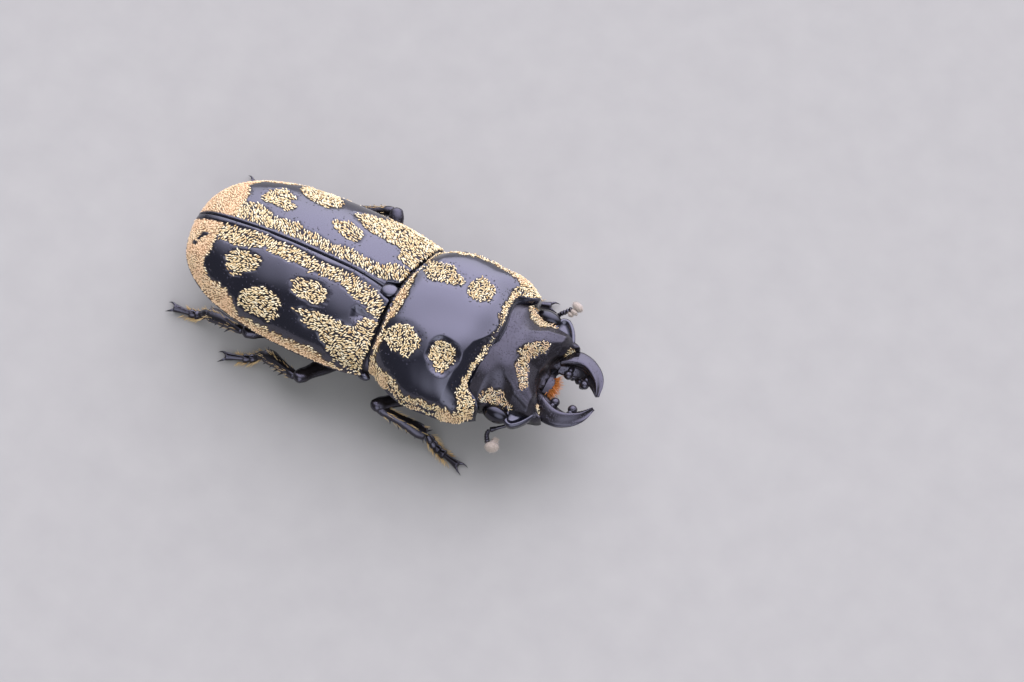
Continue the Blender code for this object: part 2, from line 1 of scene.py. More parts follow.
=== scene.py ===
# Reticulate stag beetle at life size: black polished chitin with sunken markings full of golden scales.
# Lengths are in millimetres until a mesh is made. X runs to the head, Y to the beetle's left and Z up.

import math
import random

import bpy
import numpy as np
from mathutils import Matrix, Vector


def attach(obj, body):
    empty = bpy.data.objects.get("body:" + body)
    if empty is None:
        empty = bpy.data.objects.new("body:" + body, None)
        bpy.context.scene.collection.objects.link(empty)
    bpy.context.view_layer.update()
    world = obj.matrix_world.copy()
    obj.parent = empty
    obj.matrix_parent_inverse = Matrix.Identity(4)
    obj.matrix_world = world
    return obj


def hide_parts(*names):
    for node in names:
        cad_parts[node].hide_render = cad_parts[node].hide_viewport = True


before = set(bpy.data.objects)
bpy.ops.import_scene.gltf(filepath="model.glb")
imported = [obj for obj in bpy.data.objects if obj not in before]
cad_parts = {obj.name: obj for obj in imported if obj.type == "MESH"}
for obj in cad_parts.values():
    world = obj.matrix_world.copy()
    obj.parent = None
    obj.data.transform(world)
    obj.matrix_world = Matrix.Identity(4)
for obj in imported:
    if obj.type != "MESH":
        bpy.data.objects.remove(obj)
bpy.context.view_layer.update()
mm = 0.001
sides = {"left": 1, "right": -1}
print("frame loaded,", len(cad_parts), "nodes")


# Numbers and curves, on single values or whole arrays


def mix(first, second, share):
    return first + (second - first) * share


def smooth(start, end, value):
    share = np.clip((value - start) / (end - start), 0.0, 1.0)
    return share * share * (3 - 2 * share)


def hill(value, centre, halfWidth):
    share = np.minimum(np.abs(value - centre) / halfWidth, 1.0)
    return (1 - share * share) ** 2


def arch(angle, power):
    # A point of the unit superellipse, with the angle measured from straight up
    across, rise = np.sin(angle), np.cos(angle)
    return (np.sign(across) * np.abs(across) ** (2 / power),
            np.sign(rise) * np.abs(rise) ** (2 / power))


def ripple(x, y, size, seed, waves=7):
    # A wandering value of about -1 to 1 whose swells are about size across
    draw = random.Random(seed)
    total = 0.0
    for _ in range(waves):
        heading = draw.uniform(0, 2 * math.pi)
        pace = 2 * math.pi / size * draw.uniform(0.55, 1.4)
        swell = (x * math.cos(heading) + y * math.sin(heading)) * pace
        total = total + np.sin(swell + draw.uniform(0, 2 * math.pi))
    return total / math.sqrt(waves)


def insideBy(outline, x, y):
    # How far inside a closed outline each place lies, and negative outside it
    nearest = np.full(x.shape, 1e9)
    within = np.zeros(x.shape, bool)
    for (ax, ay), (bx, by) in zip(outline, outline[1:] + outline[:1]):
        dx, dy = bx - ax, by - ay
        share = np.clip(((x - ax) * dx + (y - ay) * dy) / (dx * dx + dy * dy), 0, 1)
        nearest = np.minimum(nearest, np.hypot(x - ax - share * dx, y - ay - share * dy))
        if ay != by:
            within ^= ((ay > y) != (by > y)) & (x < dx * (y - ay) / dy + ax)
    return np.where(within, nearest, -nearest)


def ovalBy(x, y, centreX, centreY, halfLength, halfWidth, turn=0.0):
    dx, dy = x - centreX, y - centreY
    along = dx * math.cos(turn) + dy * math.sin(turn)
    across = dy * math.cos(turn) - dx * math.sin(turn)
    reach = np.hypot(along / halfLength, across / halfWidth)
    return (1 - reach) * min(halfLength, halfWidth)


def lineAt(points, x):
    # The height over x of a line through points given from low x to high
    return np.interp(x, [p[0] for p in points], [p[1] for p in points])


def curveThrough(points, stations):
    # Even stations on a smooth curve through the points, which may be places or plain values
    knots = np.array(points, float)
    knots = np.concatenate([2 * knots[:1] - knots[1:2], knots, 2 * knots[-1:] - knots[-2:-1]])
    place = np.linspace(0, len(knots) - 3, stations)
    span = np.minimum(place.astype(int), len(knots) - 4)
    t = (place - span).reshape((-1,) + (1,) * (knots.ndim - 1))
    a, b, c, d = (knots[span + step] for step in range(4))
    return 0.5 * (2 * b + (c - a) * t + (2 * a - 5 * b + 4 * c - d) * t ** 2
                  + (3 * b - a - 3 * c + d) * t ** 3)


def runThrough(values, share):
    # A smooth run through even values, met at a share of its length
    stations = 161
    return np.interp(share, np.linspace(0, 1, stations), curveThrough(values, stations))


def softMin(first, second, reach):
    # The lower of two heights, with the crest between them rounded over about reach
    return (first + second - np.sqrt((first - second) ** 2 + reach ** 2)) / 2


def toSide(places, side):
    # Places given for the left side, kept for 1 and mirrored to the right for -1
    return np.array(places, float) * np.array([1, side, 1])


def unit(vectors):
    return vectors / np.maximum(np.linalg.norm(vectors, axis=-1, keepdims=True), 1e-9)


def raggedBy(x, y, seed, coarse=0.035, coarseSize=0.45, fine=0.025):
    # How far the edge of a mark wanders out and in
    fineSize = 0.17
    return coarse * ripple(x, y, coarseSize, seed) + fine * ripple(x, y, fineSize, seed + 1)


# Materials


def linear(code, alpha=1.0):
    # An sRGB hex colour as linear values
    channels = [int(code[place:place + 2], 16) / 255 for place in (1, 3, 5)]
    return (*[c / 12.92 if c <= 0.04045 else ((c + 0.055) / 1.055) ** 2.4 for c in channels], alpha)


def perSize(size):
    # The scale of a texture whose cells are size millimetres across
    return 1 / (size * mm)


def addNode(material, kind, settings=None, links=None):
    # Math and Mix have their sockets by number; in Mix 0 is the share, 2 and 3 are values, 6 and 7 colours
    tree = material.node_tree
    node = tree.nodes.new("ShaderNode" + kind)
    for key, value in (settings or {}).items():
        if isinstance(key, int) or key in node.inputs:
            node.inputs[key].default_value = value
        else:
            setattr(node, key, value)
    for key, source in (links or {}).items():
        tree.links.new(source, node.inputs[key])
    return node


def newMaterial(name, settings):
    material = bpy.data.materials.new(name)
    material.use_nodes = True
    shader = material.node_tree.nodes["Principled BSDF"]
    for key, value in settings.items():
        shader.inputs[key].default_value = value
    return material, shader


def joinTo(material, shader, links):
    for key, source in links.items():
        material.node_tree.links.new(source, shader.inputs[key])


def polishedChitin():
    # Hardened chitin, polished by wear: nearly black with a blue cast, so that soft light lies on it in
    # broad lilac sheets; hollows are brown-black and matt, and a crust of old scale dust lies at the rims
    look = {"plate": "#0a0a11", "hollow": "#17120f", "crust": "#b5926c", "tint": "#d9d6f4",
            "pitSize": 0.09, "pitDepth": 0.03, "dotSize": 0.14, "dotDepth": 0.03, "smearSize": 1.4,
            "grainSize": 0.03, "grainDepth": 0.004, "rubbed": 0.15, "smeared": 0.25, "matt": 0.5,
            "dusty": 0.9}
    material, shader = newMaterial("polished_chitin", {
        "IOR": 1.72, "Coat Roughness": 0.07, "Specular Tint": linear(look["tint"])})
    place = addNode(material, "TexCoord").outputs["Object"]
    sunk, crust, fringe = (addNode(material, "Attribute", {"attribute_name": name}).outputs["Fac"]
                           for name in ("sunk", "crust", "fringe"))
    smear = addNode(material, "TexNoise", {
        "Scale": perSize(look["smearSize"]), "Detail": 4.0, "Roughness": 0.6}, {"Vector": place})
    sheen = addNode(material, "MapRange", {
        "From Min": 0.3, "From Max": 0.7, "To Min": look["rubbed"], "To Max": look["smeared"]},
        {"Value": smear.outputs["Fac"]})
    rough = addNode(material, "Mix", {3: look["matt"]}, {0: sunk, 2: sheen.outputs["Result"]})
    rougher = addNode(material, "Mix", {3: look["dusty"]}, {0: crust, 2: rough.outputs[0]})
    colour = addNode(material, "Mix", {
        "data_type": "RGBA", 6: linear(look["plate"]), 7: linear(look["hollow"])}, {0: sunk})
    dusty = addNode(material, "Mix", {"data_type": "RGBA", 7: linear(look["crust"])},
                    {0: crust, 6: colour.outputs[2]})
    pits = addNode(material, "TexVoronoi", {
        "Scale": perSize(look["pitSize"]), "feature": "SMOOTH_F1"}, {"Vector": place})
    pitDepth = addNode(material, "Math", {"operation": "MULTIPLY"}, {0: pits.outputs["Distance"], 1: sunk})
    dots = addNode(material, "TexVoronoi", {"Scale": perSize(look["dotSize"])}, {"Vector": place})
    dotCup = addNode(material, "MapRange", {
        "From Min": 0.12, "From Max": 0.24, "To Min": 1.0, "To Max": 0.0},
        {"Value": dots.outputs["Distance"]})
    dotDepth = addNode(material, "Math", {"operation": "MULTIPLY"}, {0: dotCup.outputs["Result"], 1: fringe})
    dull = addNode(material, "Math", {"operation": "MAXIMUM"}, {0: sunk, 1: dotDepth.outputs[0]})
    gloss = addNode(material, "MapRange", {"To Min": 0.5, "To Max": 0.22}, {"Value": dull.outputs[0]})
    clear = addNode(material, "MapRange", {"To Min": 0.5, "To Max": 0.05}, {"Value": dull.outputs[0]})
    grain = addNode(material, "TexNoise", {
        "Scale": perSize(look["grainSize"]), "Detail": 2.0}, {"Vector": place})
    fine = addNode(material, "Bump", {"Strength": 0.05, "Distance": look["grainDepth"] * mm},
                   {"Height": grain.outputs["Fac"]})
    pitted = addNode(material, "Bump", {"Strength": 0.6, "Distance": look["pitDepth"] * mm},
                     {"Height": pitDepth.outputs[0], "Normal": fine.outputs["Normal"]})
    dotted = addNode(material, "Bump", {"Strength": 1.0, "Distance": look["dotDepth"] * mm, "invert": True},
                     {"Height": dotDepth.outputs[0], "Normal": pitted.outputs["Normal"]})
    joinTo(material, shader, {
        "Base Color": dusty.outputs[2], "Roughness": rougher.outputs[0], "Normal": dotted.outputs["Normal"],
        "Specular IOR Level": gloss.outputs["Result"], "Coat Weight": clear.outputs["Result"]})
    return material


def satinChitin(name, tint, rough, pitSize, pitStrength, bend=1.7):
    # Chitin left as it hardened: grey-black, finely punctured, so its shine is broken and soft
    look = {"worn": "#1d1916", "tint": "#dcd8f2", "smearSize": 0.9, "pitDepth": 0.02}
    material, shader = newMaterial(name, {"IOR": bend, "Specular Tint": linear(look["tint"])})
    place = addNode(material, "TexCoord").outputs["Object"]
    smear = addNode(material, "TexNoise", {
        "Scale": perSize(look["smearSize"]), "Detail": 5.0, "Roughness": 0.6}, {"Vector": place})
    sheen = addNode(material, "MapRange", {
        "From Min": 0.3, "From Max": 0.7, "To Min": rough - 0.05, "To Max": rough + 0.07},
        {"Value": smear.outputs["Fac"]})
    shade = addNode(material, "Mix", {"data_type": "RGBA", 6: linear(tint), 7: linear(look["worn"])},
                    {0: smear.outputs["Fac"]})
    pits = addNode(material, "TexVoronoi", {
        "Scale": perSize(pitSize), "Randomness": 0.85}, {"Vector": place})
    cup = addNode(material, "MapRange", {
        "From Min": 0.12, "From Max": 0.34, "interpolation_type": "SMOOTHSTEP"},
        {"Value": pits.outputs["Distance"]})
    bump = addNode(material, "Bump", {"Strength": pitStrength, "Distance": look["pitDepth"] * mm},
                   {"Height": cup.outputs["Result"]})
    joinTo(material, shader, {
        "Base Color": shade.outputs[2], "Roughness": sheen.outputs["Result"],
        "Normal": bump.outputs["Normal"]})
    return material


def goldenScale():
    # Dry flat scales, straw to old gold, each a shade of its own; those of the rims are stained with dust
    look = {"deep": "#b28d56", "straw": "#e2ca98", "pale": "#f8edcc", "dust": "#ecc9a0", "strawAt": 0.45}
    material, shader = newMaterial("golden_scale", {"Roughness": 0.34, "IOR": 1.55})
    tone, dust = (addNode(material, "Attribute", {"attribute_name": name}).outputs["Fac"]
                  for name in ("tone", "dust"))
    ramp = addNode(material, "ValToRGB", {}, {"Fac": tone})
    ramp.color_ramp.elements[0].color = linear(look["deep"])
    ramp.color_ramp.elements[1].color = linear(look["pale"])
    middle = ramp.color_ramp.elements.new(look["strawAt"])
    middle.color = linear(look["straw"])
    colour = addNode(material, "Mix", {"data_type": "RGBA", 7: linear(look["dust"])},
                     {0: dust, 6: ramp.outputs["Color"]})
    joinTo(material, shader, {"Base Color": colour.outputs[2]})
    return material


def eyeLens():
    # Compound eye: clear lens over black, a glassy dome of very small facets
    look = {"glass": "#0b090a", "tint": "#c9c8ea", "facet": 0.035, "facetDepth": 0.006}
    material, shader = newMaterial("compound_eye", {
        "Base Color": linear(look["glass"]), "Roughness": 0.1, "IOR": 1.5,
        "Specular Tint": linear(look["tint"]), "Coat Weight": 0.3, "Coat Roughness": 0.03})
    place = addNode(material, "TexCoord").outputs["Object"]
    cells = addNode(material, "TexVoronoi", {
        "Scale": perSize(look["facet"]), "Randomness": 0.25}, {"Vector": place})
    bump = addNode(material, "Bump", {
        "Strength": 0.35, "Distance": look["facetDepth"] * mm, "invert": True},
        {"Height": cells.outputs["Distance"]})
    joinTo(material, shader, {"Normal": bump.outputs["Normal"]})
    return material


def bristle(name, rootCode, tipCode, rough):
    # Horny bristle: darker at its root, paler and clearer towards the tip
    material, shader = newMaterial(name, {"Roughness": rough, "IOR": 1.5})
    tone = addNode(material, "Attribute", {"attribute_name": "tone"}).outputs["Fac"]
    colour = addNode(material, "Mix", {
        "data_type": "RGBA", 6: linear(rootCode), 7: linear(tipCode)}, {0: tone})
    joinTo(material, shader, {"Base Color": colour.outputs[2]})
    return material


def clubDown():
    # Feeler club under close grey down: a dull bloom that hides the chitin
    look = {"down": "#b5a79a", "shade": "#74695f", "tuft": 0.05, "tuftDepth": 0.012}
    material, shader = newMaterial("feeler_down", {
        "Roughness": 0.85, "Sheen Weight": 0.35, "Sheen Roughness": 0.5})
    place = addNode(material, "TexCoord").outputs["Object"]
    tufts = addNode(material, "TexNoise", {"Scale": perSize(look["tuft"]), "Detail": 3.0}, {"Vector": place})
    colour = addNode(material, "Mix", {
        "data_type": "RGBA", 6: linear(look["shade"]), 7: linear(look["down"])}, {0: tufts.outputs["Fac"]})
    bump = addNode(material, "Bump", {"Strength": 0.5, "Distance": look["tuftDepth"] * mm},
                   {"Height": tufts.outputs["Fac"]})
    joinTo(material, shader, {"Base Color": colour.outputs[2], "Normal": bump.outputs["Normal"]})
    return material


chitin = polishedChitin()
headChitin = satinChitin("satin_chitin", "#0f0e12", 0.27, 0.075, 0.6, 1.62)
jawChitin = satinChitin("jaw_chitin", "#0b0a0e", 0.17, 0.1, 0.4)
limbChitin = satinChitin("limb_chitin", "#0b0a0c", 0.2, 0.14, 0.25)
bellyChitin = satinChitin("belly_chitin", "#14110f", 0.34, 0.11, 0.5)
scaleGold = goldenScale()
eyeGlass = eyeLens()
amber = bristle("amber_bristle", "#8a4516", "#d98a3a", 0.45)
goldHair = bristle("golden_hair", "#9a6f34", "#ecd29a", 0.4)
greyHair = bristle("grey_hair", "#74695f", "#c9bdb0", 0.6)
down = clubDown()
print("materials made")


# Meshes


def gridFaces(columns, rows, start=0):
    # Quads between the points of a grid that are counted from start
    near = start + (np.arange(columns - 1)[:, None] * rows + np.arange(rows - 1)).ravel()
    return np.stack([near, near + rows, near + rows + 1, near + 1], 1).tolist()


def facesOut(points, faces):
    # Turns a closed surface the right way out
    volume = 0.0
    for face in faces:
        a = points[face[0]]
        for second, third in zip(face[1:], face[2:]):
            b, c = points[second], points[third]
            volume += (a[0] * (b[1] * c[2] - b[2] * c[1]) - a[1] * (b[0] * c[2] - b[2] * c[0])
                       + a[2] * (b[0] * c[1] - b[1] * c[0]))
    return faces if volume > 0 else [face[::-1] for face in faces]


def newPiece(name, points, faces, material, nodes=(), values=None):
    # A piece of the beetle that stands for the given nodes of the CAD; values are kept for its material
    points = np.asarray(points, float)
    mesh = bpy.data.meshes.new(name)
    mesh.from_pydata((points * mm).tolist(), [], faces)
    for key, amounts in (values or {}).items():
        layer = mesh.attributes.new(key, "FLOAT", "POINT")
        layer.data.foreach_set("value", np.asarray(amounts, np.float32).ravel())
    mesh.shade_smooth()
    mesh.materials.append(material)
    piece = bpy.data.objects.new(name, mesh)
    bpy.context.scene.collection.objects.link(piece)
    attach(piece, "root")
    if nodes:
        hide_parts(*nodes)
    return piece


def gather(shapes):
    # Several closed shapes, as points and faces, in one list
    points, faces = [], []
    for shapePoints, shapeFaces in shapes:
        start = sum(len(p) for p in points)
        points.append(np.asarray(shapePoints, float))
        faces += [[index + start for index in face] for face in shapeFaces]
    return np.concatenate(points), faces


def skinOf(surface, columns, rows, relief, outFrom, crowding=1.0):
    # An outer face as grids of places, normals and marks: the plain form, then its relief along the normal
    u, v = np.meshgrid(np.linspace(0, 1, columns), np.linspace(0, 1, rows) ** crowding, indexing="ij")
    place = surface(u, v)
    normal = normalsOf(place, outFrom)
    height, mark, crust = relief(place, u, v)
    place = place + normal * height[..., None]
    normal = normalsOf(place, outFrom)
    return {"place": place, "normal": normal, "mark": mark, "crust": crust, "u": u, "v": v}


def skinValues(skin):
    # The marks of a skin as point values for its material, which the inner face has none of: sunk within a
    # mark, crust where dust lies, and a dotted fringe just outside
    mark, none = skin["mark"].ravel(), np.zeros(skin["mark"].size)
    values = {"sunk": smooth(-0.04, 0.05, mark), "crust": skin["crust"].ravel() * smooth(-0.02, 0.05, mark),
              "fringe": smooth(-0.3, -0.08, mark) * (1 - smooth(-0.03, 0.02, mark))}
    return {key: np.concatenate([amounts, none]) for key, amounts in values.items()}


def normalsOf(place, outFrom):
    # The normals of a grid, turned away from a place inside the body
    normal = unit(np.cross(np.gradient(place, axis=0), np.gradient(place, axis=1)))
    away = ((place - np.array(outFrom)) * normal).sum(-1).mean()
    return normal * np.sign(away)


def plateFrom(skin, inner):
    # Closes a skin with an inner face of the same count, joined round the rim
    columns, rows = skin["u"].shape
    points = np.concatenate([skin["place"].reshape(-1, 3), inner.reshape(-1, 3)])
    count = columns * rows
    faces = gridFaces(columns, rows)
    faces += [face[::-1] for face in gridFaces(columns, rows, count)]
    index = np.arange(count).reshape(columns, rows)
    rim = np.concatenate([index[:, 0], index[-1, 1:], index[-2::-1, -1], index[0, -2:0:-1]]).tolist()
    for here, following in zip(rim, rim[1:] + rim[:1]):
        faces.append([following, here, here + count, following + count])
    return points, facesOut(points.tolist(), faces)


def sprig(stations, around):
    # One scale or bristle as rings (share of length, width, rise), closed to a point at each end
    cells = [(0.0, 0.0, 0.0, stations[0][2])]
    for share, width, rise in stations:
        for step in range(around):
            angle = 2 * math.pi * step / around
            cells.append((share, width * math.cos(angle), width * math.sin(angle), rise))
    cells.append((1.0, 0.0, 0.0, stations[-1][2]))
    faces = []
    last = len(cells) - 1
    for ring in range(len(stations)):
        for step in range(around):
            here = 1 + ring * around + step
            side = 1 + ring * around + (step + 1) % around
            if ring == 0:
                faces.append([0, side, here])
            if ring < len(stations) - 1:
                faces.append([here, side, side + around, here + around])
            else:
                faces.append([here, side, last])
    return np.array(cells), faces


def coatPiece(name, form, coat, material):
    # Sets one form on every root of a coat: its roots, courses, normals, sizes, tones and unwrap places
    floorGap, patch = 0.01, 0.003
    cells, faces = form
    root, course, up = coat["root"], unit(coat["along"]), coat["normal"]
    course = unit(course - up * (course * up).sum(1, keepdims=True) * coat.get("flat", 1.0))
    side = unit(np.cross(up, course))
    rising = unit(np.cross(course, side))
    length, width, depth, lift = (coat["size"][:, column, None, None] for column in range(4))
    points = (root[:, None] + course[:, None] * length * cells[None, :, :1]
              + side[:, None] * width / 2 * cells[None, :, 1:2]
              + rising[:, None] * (depth / 2 * cells[None, :, 2:3] + lift * cells[None, :, 3:4]))
    points[..., 2] = np.maximum(points[..., 2], floorGap)
    count = len(cells)
    starts = (np.arange(len(root)) * count)[:, None, None]
    allFaces = []
    for corners in (3, 4):
        alike = np.array([face for face in faces if len(face) == corners])
        allFaces += (alike[None] + starts).reshape(-1, corners).tolist()
    tone = coat["tone"][:, None] + coat.get("toneRise", 0.0) * cells[None, :, 0]
    dust = np.repeat(coat["dust"][:, None], count, 1)
    piece = newPiece(name, points.reshape(-1, 3), allFaces, material,
                     values={"tone": np.clip(tone, 0, 1), "dust": dust})
    # Each scale or bristle has a small patch of the unwrap, at the place of its root
    spot = coat["unwrap"][:, None] + np.stack([cells[:, 0] - 0.5, cells[:, 1] / 2], 1)[None] * patch
    spot = spot.reshape(-1, 2)
    layer = piece.data.uv_layers.new(name="OFBake")
    loops = np.empty(len(piece.data.loops), np.int32)
    piece.data.loops.foreach_get("vertex_index", loops)
    layer.data.foreach_set("uv", spot[loops].astype(np.float32).ravel())


def scatter(skin, kind, courseOf, seed, keep=None):
    # Roots in the marked places of a skin, none closer than the kind's room along and across its course.
    # They stand a little apart at the edge of a mark, and are small and crowded in the crust
    edgeSpread, edgeWidth, crustShrink = 0.4, 0.12, 0.35
    draw = np.random.default_rng(seed)
    place, mark = skin["place"], skin["mark"]
    edgeA = place[1:, :-1] - place[:-1, :-1]
    edgeB = place[:-1, 1:] - place[:-1, :-1]
    chance = np.linalg.norm(np.cross(edgeA, edgeB), axis=-1) * ((mark[:-1, :-1] + mark[1:, 1:]) > 0)
    tries = int(kind["tries"] * chance.sum())
    chosen = draw.choice(chance.size, size=tries, p=(chance / chance.sum()).ravel())
    column, row = np.unravel_index(chosen, chance.shape)
    shareA, shareB = draw.random(tries)[:, None], draw.random(tries)[:, None]

    def between(grid):
        grid = grid if grid.ndim == 3 else grid[..., None]
        near = mix(grid[column, row], grid[column + 1, row], shareA)
        far = mix(grid[column, row + 1], grid[column + 1, row + 1], shareA)
        return mix(near, far, shareB)

    spots, normals = between(place), unit(between(skin["normal"]))
    marks, crusts = between(mark)[:, 0], between(skin["crust"])[:, 0]
    backward = unit(np.gradient(place, axis=0))[column, row]
    turn = courseOf(spots) + draw.normal(0, kind["stray"], tries)
    side = unit(np.cross(normals, backward))
    side = side * np.sign(side[:, 1:2] * spots[:, 1:2] + 1e-12)
    courses = unit(backward * np.cos(turn)[:, None] + side * np.sin(turn)[:, None])
    allowed = marks > 0.01
    if keep is not None:
        allowed &= draw.random(tries) < keep(spots)
    shrink = 1 - crustShrink * crusts
    roomy = shrink * (1 + edgeSpread * (1 - smooth(0.0, edgeWidth, marks)))

    def isClear(others, spot, course, near, off):
        for other in others:
            gap = [b - a for a, b in zip(spot, other)]
            run = sum(g * c for g, c in zip(gap, course)) ** 2
            if run / near + (sum(g * g for g in gap) - run) / off < 1:
                return False
        return True

    # Roots already kept are looked up in cubes as wide as the widest room
    cube = (1 + edgeSpread) * kind["along"]
    steps = [(i, j, k) for i in (-1, 0, 1) for j in (-1, 0, 1) for k in (-1, 0, 1)]
    cubes, kept = {}, []
    for index in np.nonzero(allowed)[0]:
        spot, course = spots[index].tolist(), courses[index].tolist()
        near, off = (roomy[index] * kind["along"]) ** 2, (roomy[index] * kind["across"]) ** 2
        a, b, c = (int(value // cube) for value in spot)
        if all(isClear(cubes.get((a + i, b + j, c + k), ()), spot, course, near, off) for i, j, k in steps):
            cubes.setdefault((a, b, c), []).append(spot)
            kept.append(index)
    kept = np.array(kept)
    unwrap = np.stack([between(skin["u"])[:, 0], between(skin["v"])[:, 0]], 1)[kept] * 0.98 + 0.01
    return {"root": spots[kept], "normal": normals[kept], "along": courses[kept], "dust": crusts[kept],
            "shrink": shrink[kept], "unwrap": unwrap, "draw": draw}


def limb(route, widths, depths, around, floorZ=None):
    # Oval rings along a route; a width lies level and a depth stands across it
    route = np.asarray(route, float)
    course = unit(np.gradient(route, axis=0))
    side = unit(np.cross(course, np.array([0.0, 0.0, 1.0])))
    upward = unit(np.cross(side, course))
    angle = 2 * math.pi * (np.arange(around) + 0.5) / around
    halfWidths, halfDepths = (np.asarray(sizes)[:, None, None] / 2 for sizes in (widths, depths))
    rings = (route[:, None] + side[:, None] * (halfWidths * np.cos(angle)[None, :, None])
             + upward[:, None] * (halfDepths * np.sin(angle)[None, :, None]))
    if floorZ is not None:
        rings[..., 2] = np.maximum(rings[..., 2], floorZ)
    return closedRings(rings)


def closedRings(rings):
    # Joins rings of points to a skin and closes it at both ends
    stations, around = rings.shape[:2]
    points = np.concatenate([rings.reshape(-1, 3), rings[0].mean(0)[None], rings[-1].mean(0)[None]])
    faces = []
    for ring in range(stations - 1):
        for step in range(around):
            here, side = ring * around + step, ring * around + (step + 1) % around
            faces.append([here, side, side + around, here + around])
    first, last = stations * around, stations * around + 1
    lastRing = (stations - 1) * around
    for step in range(around):
        following = (step + 1) % around
        faces.append([following, step, first])
        faces.append([lastRing + step, lastRing + following, last])
    return points, facesOut(points.tolist(), faces)


def ballAt(centre, radii, columns, rows, turn=None):
    # A closed oval ball from a turned half circle
    angle = np.linspace(0, 2 * math.pi, columns, endpoint=False)
    tilt = np.linspace(0, math.pi, rows + 2)[1:-1]
    rings = np.stack([np.sin(tilt)[:, None] * np.cos(angle), np.sin(tilt)[:, None] * np.sin(angle),
                      np.cos(tilt)[:, None] * np.ones(columns)], -1) * np.array(radii)
    if turn is not None:
        rings = rings @ np.array(turn).T
    return closedRings(rings + np.array(centre))


def turnTo(direction):
    # The turn that lays an upright form along a direction
    return Vector((0, 0, 1)).rotation_difference(Vector(direction)).to_matrix()


def rounded(profile):
    # A run of sizes that closes softly at both ends
    ends = np.array([0.05, 0.45, 0.78])
    return np.concatenate([ends * profile[0], profile, ends[::-1] * profile[-1]])


def softEnded(route, reach):
    # Extra stations just past each end of a route, where rounded() closes it
    route = np.asarray(route, float)
    before, after = unit(route[0] - route[1]), unit(route[-1] - route[-2])
    steps = np.array([1.0, 0.8, 0.45])[:, None] * reach
    return np.concatenate([route[0] + before * steps, route, route[-1] + after * steps[::-1]])


def thorn(root, tip, width, curve=(0, 0, 0)):
    # A round spike that bows sideways by its curve
    root, tip = np.asarray(root, float), np.asarray(tip, float)
    taper = np.array([1.0, 0.95, 0.8, 0.62, 0.43, 0.24, 0.06])
    share = np.linspace(0, 1, len(taper))[:, None]
    route = root + (tip - root) * share + np.asarray(curve, float) * np.sin(share * math.pi)
    return limb(route, width * taper, width * taper, 8)


# Elytra: the two wing cases, halves of one dome with a flared rim


def askew(place):
    # The line where the wing cases and the shield meet leans a little
    lean = np.zeros(place.shape)
    lean[..., 0] = 0.06 * place[..., 1] * hill(place[..., 0], 0.1, 1.9)
    return place + lean


def outlineOf(numbers, flip=1, rounds=0):
    # Places from x and y by turns; a closed outline may be rounded through them
    knots = [(x, flip * y) for x, y in zip(numbers[::2], numbers[1::2])]
    if rounds:
        count = len(knots)
        curve = curveThrough(knots[-2:] + knots + knots[:3], (count + 4) * rounds + 1)
        knots = [tuple(place) for place in curve[2 * rounds:(count + 2) * rounds]]
    return knots


elytra = {
    "baseX": 0.08, "widestX": -2.1, "tailX": -9.2, "halfWidth": 3.58, "topZ": 4.95, "edgeZ": 2.88,
    "apexZ": 3.0, "apexFrom": 0.55, "shell": 0.3, "roundness": 2.1, "seam": 0.02, "notch": 0.55,
    "shoulderShare": 0.22, "shoulderIn": 0.26, "shoulderFore": 0.22, "baseDrop": 0.45,
    "tailSwing": math.radians(89), "tailSpacing": 0.72, "tailInset": 1.3, "tailFlat": 0.12,
    "sideFall": 0.76, "backFall": 0.92, "domeShare": 0.86, "domeAngle": math.radians(82),
    "flare": 0.14, "flareFade": 1.6, "rimShare": 0.955, "rimRadius": 0.06, "rimLift": 0.03,
    "rollFrom": math.radians(45), "rollTo": math.radians(-110), "bead": 0.05, "sink": 0.035,
    "hollow": 0.13, "swell": 0.011, "edgeSpeed": 8, "columns": 230, "rows": 150, "crowding": 0.85,
    "seeds": {"right": 3, "left": 53}, "courseSeed": 11,
}
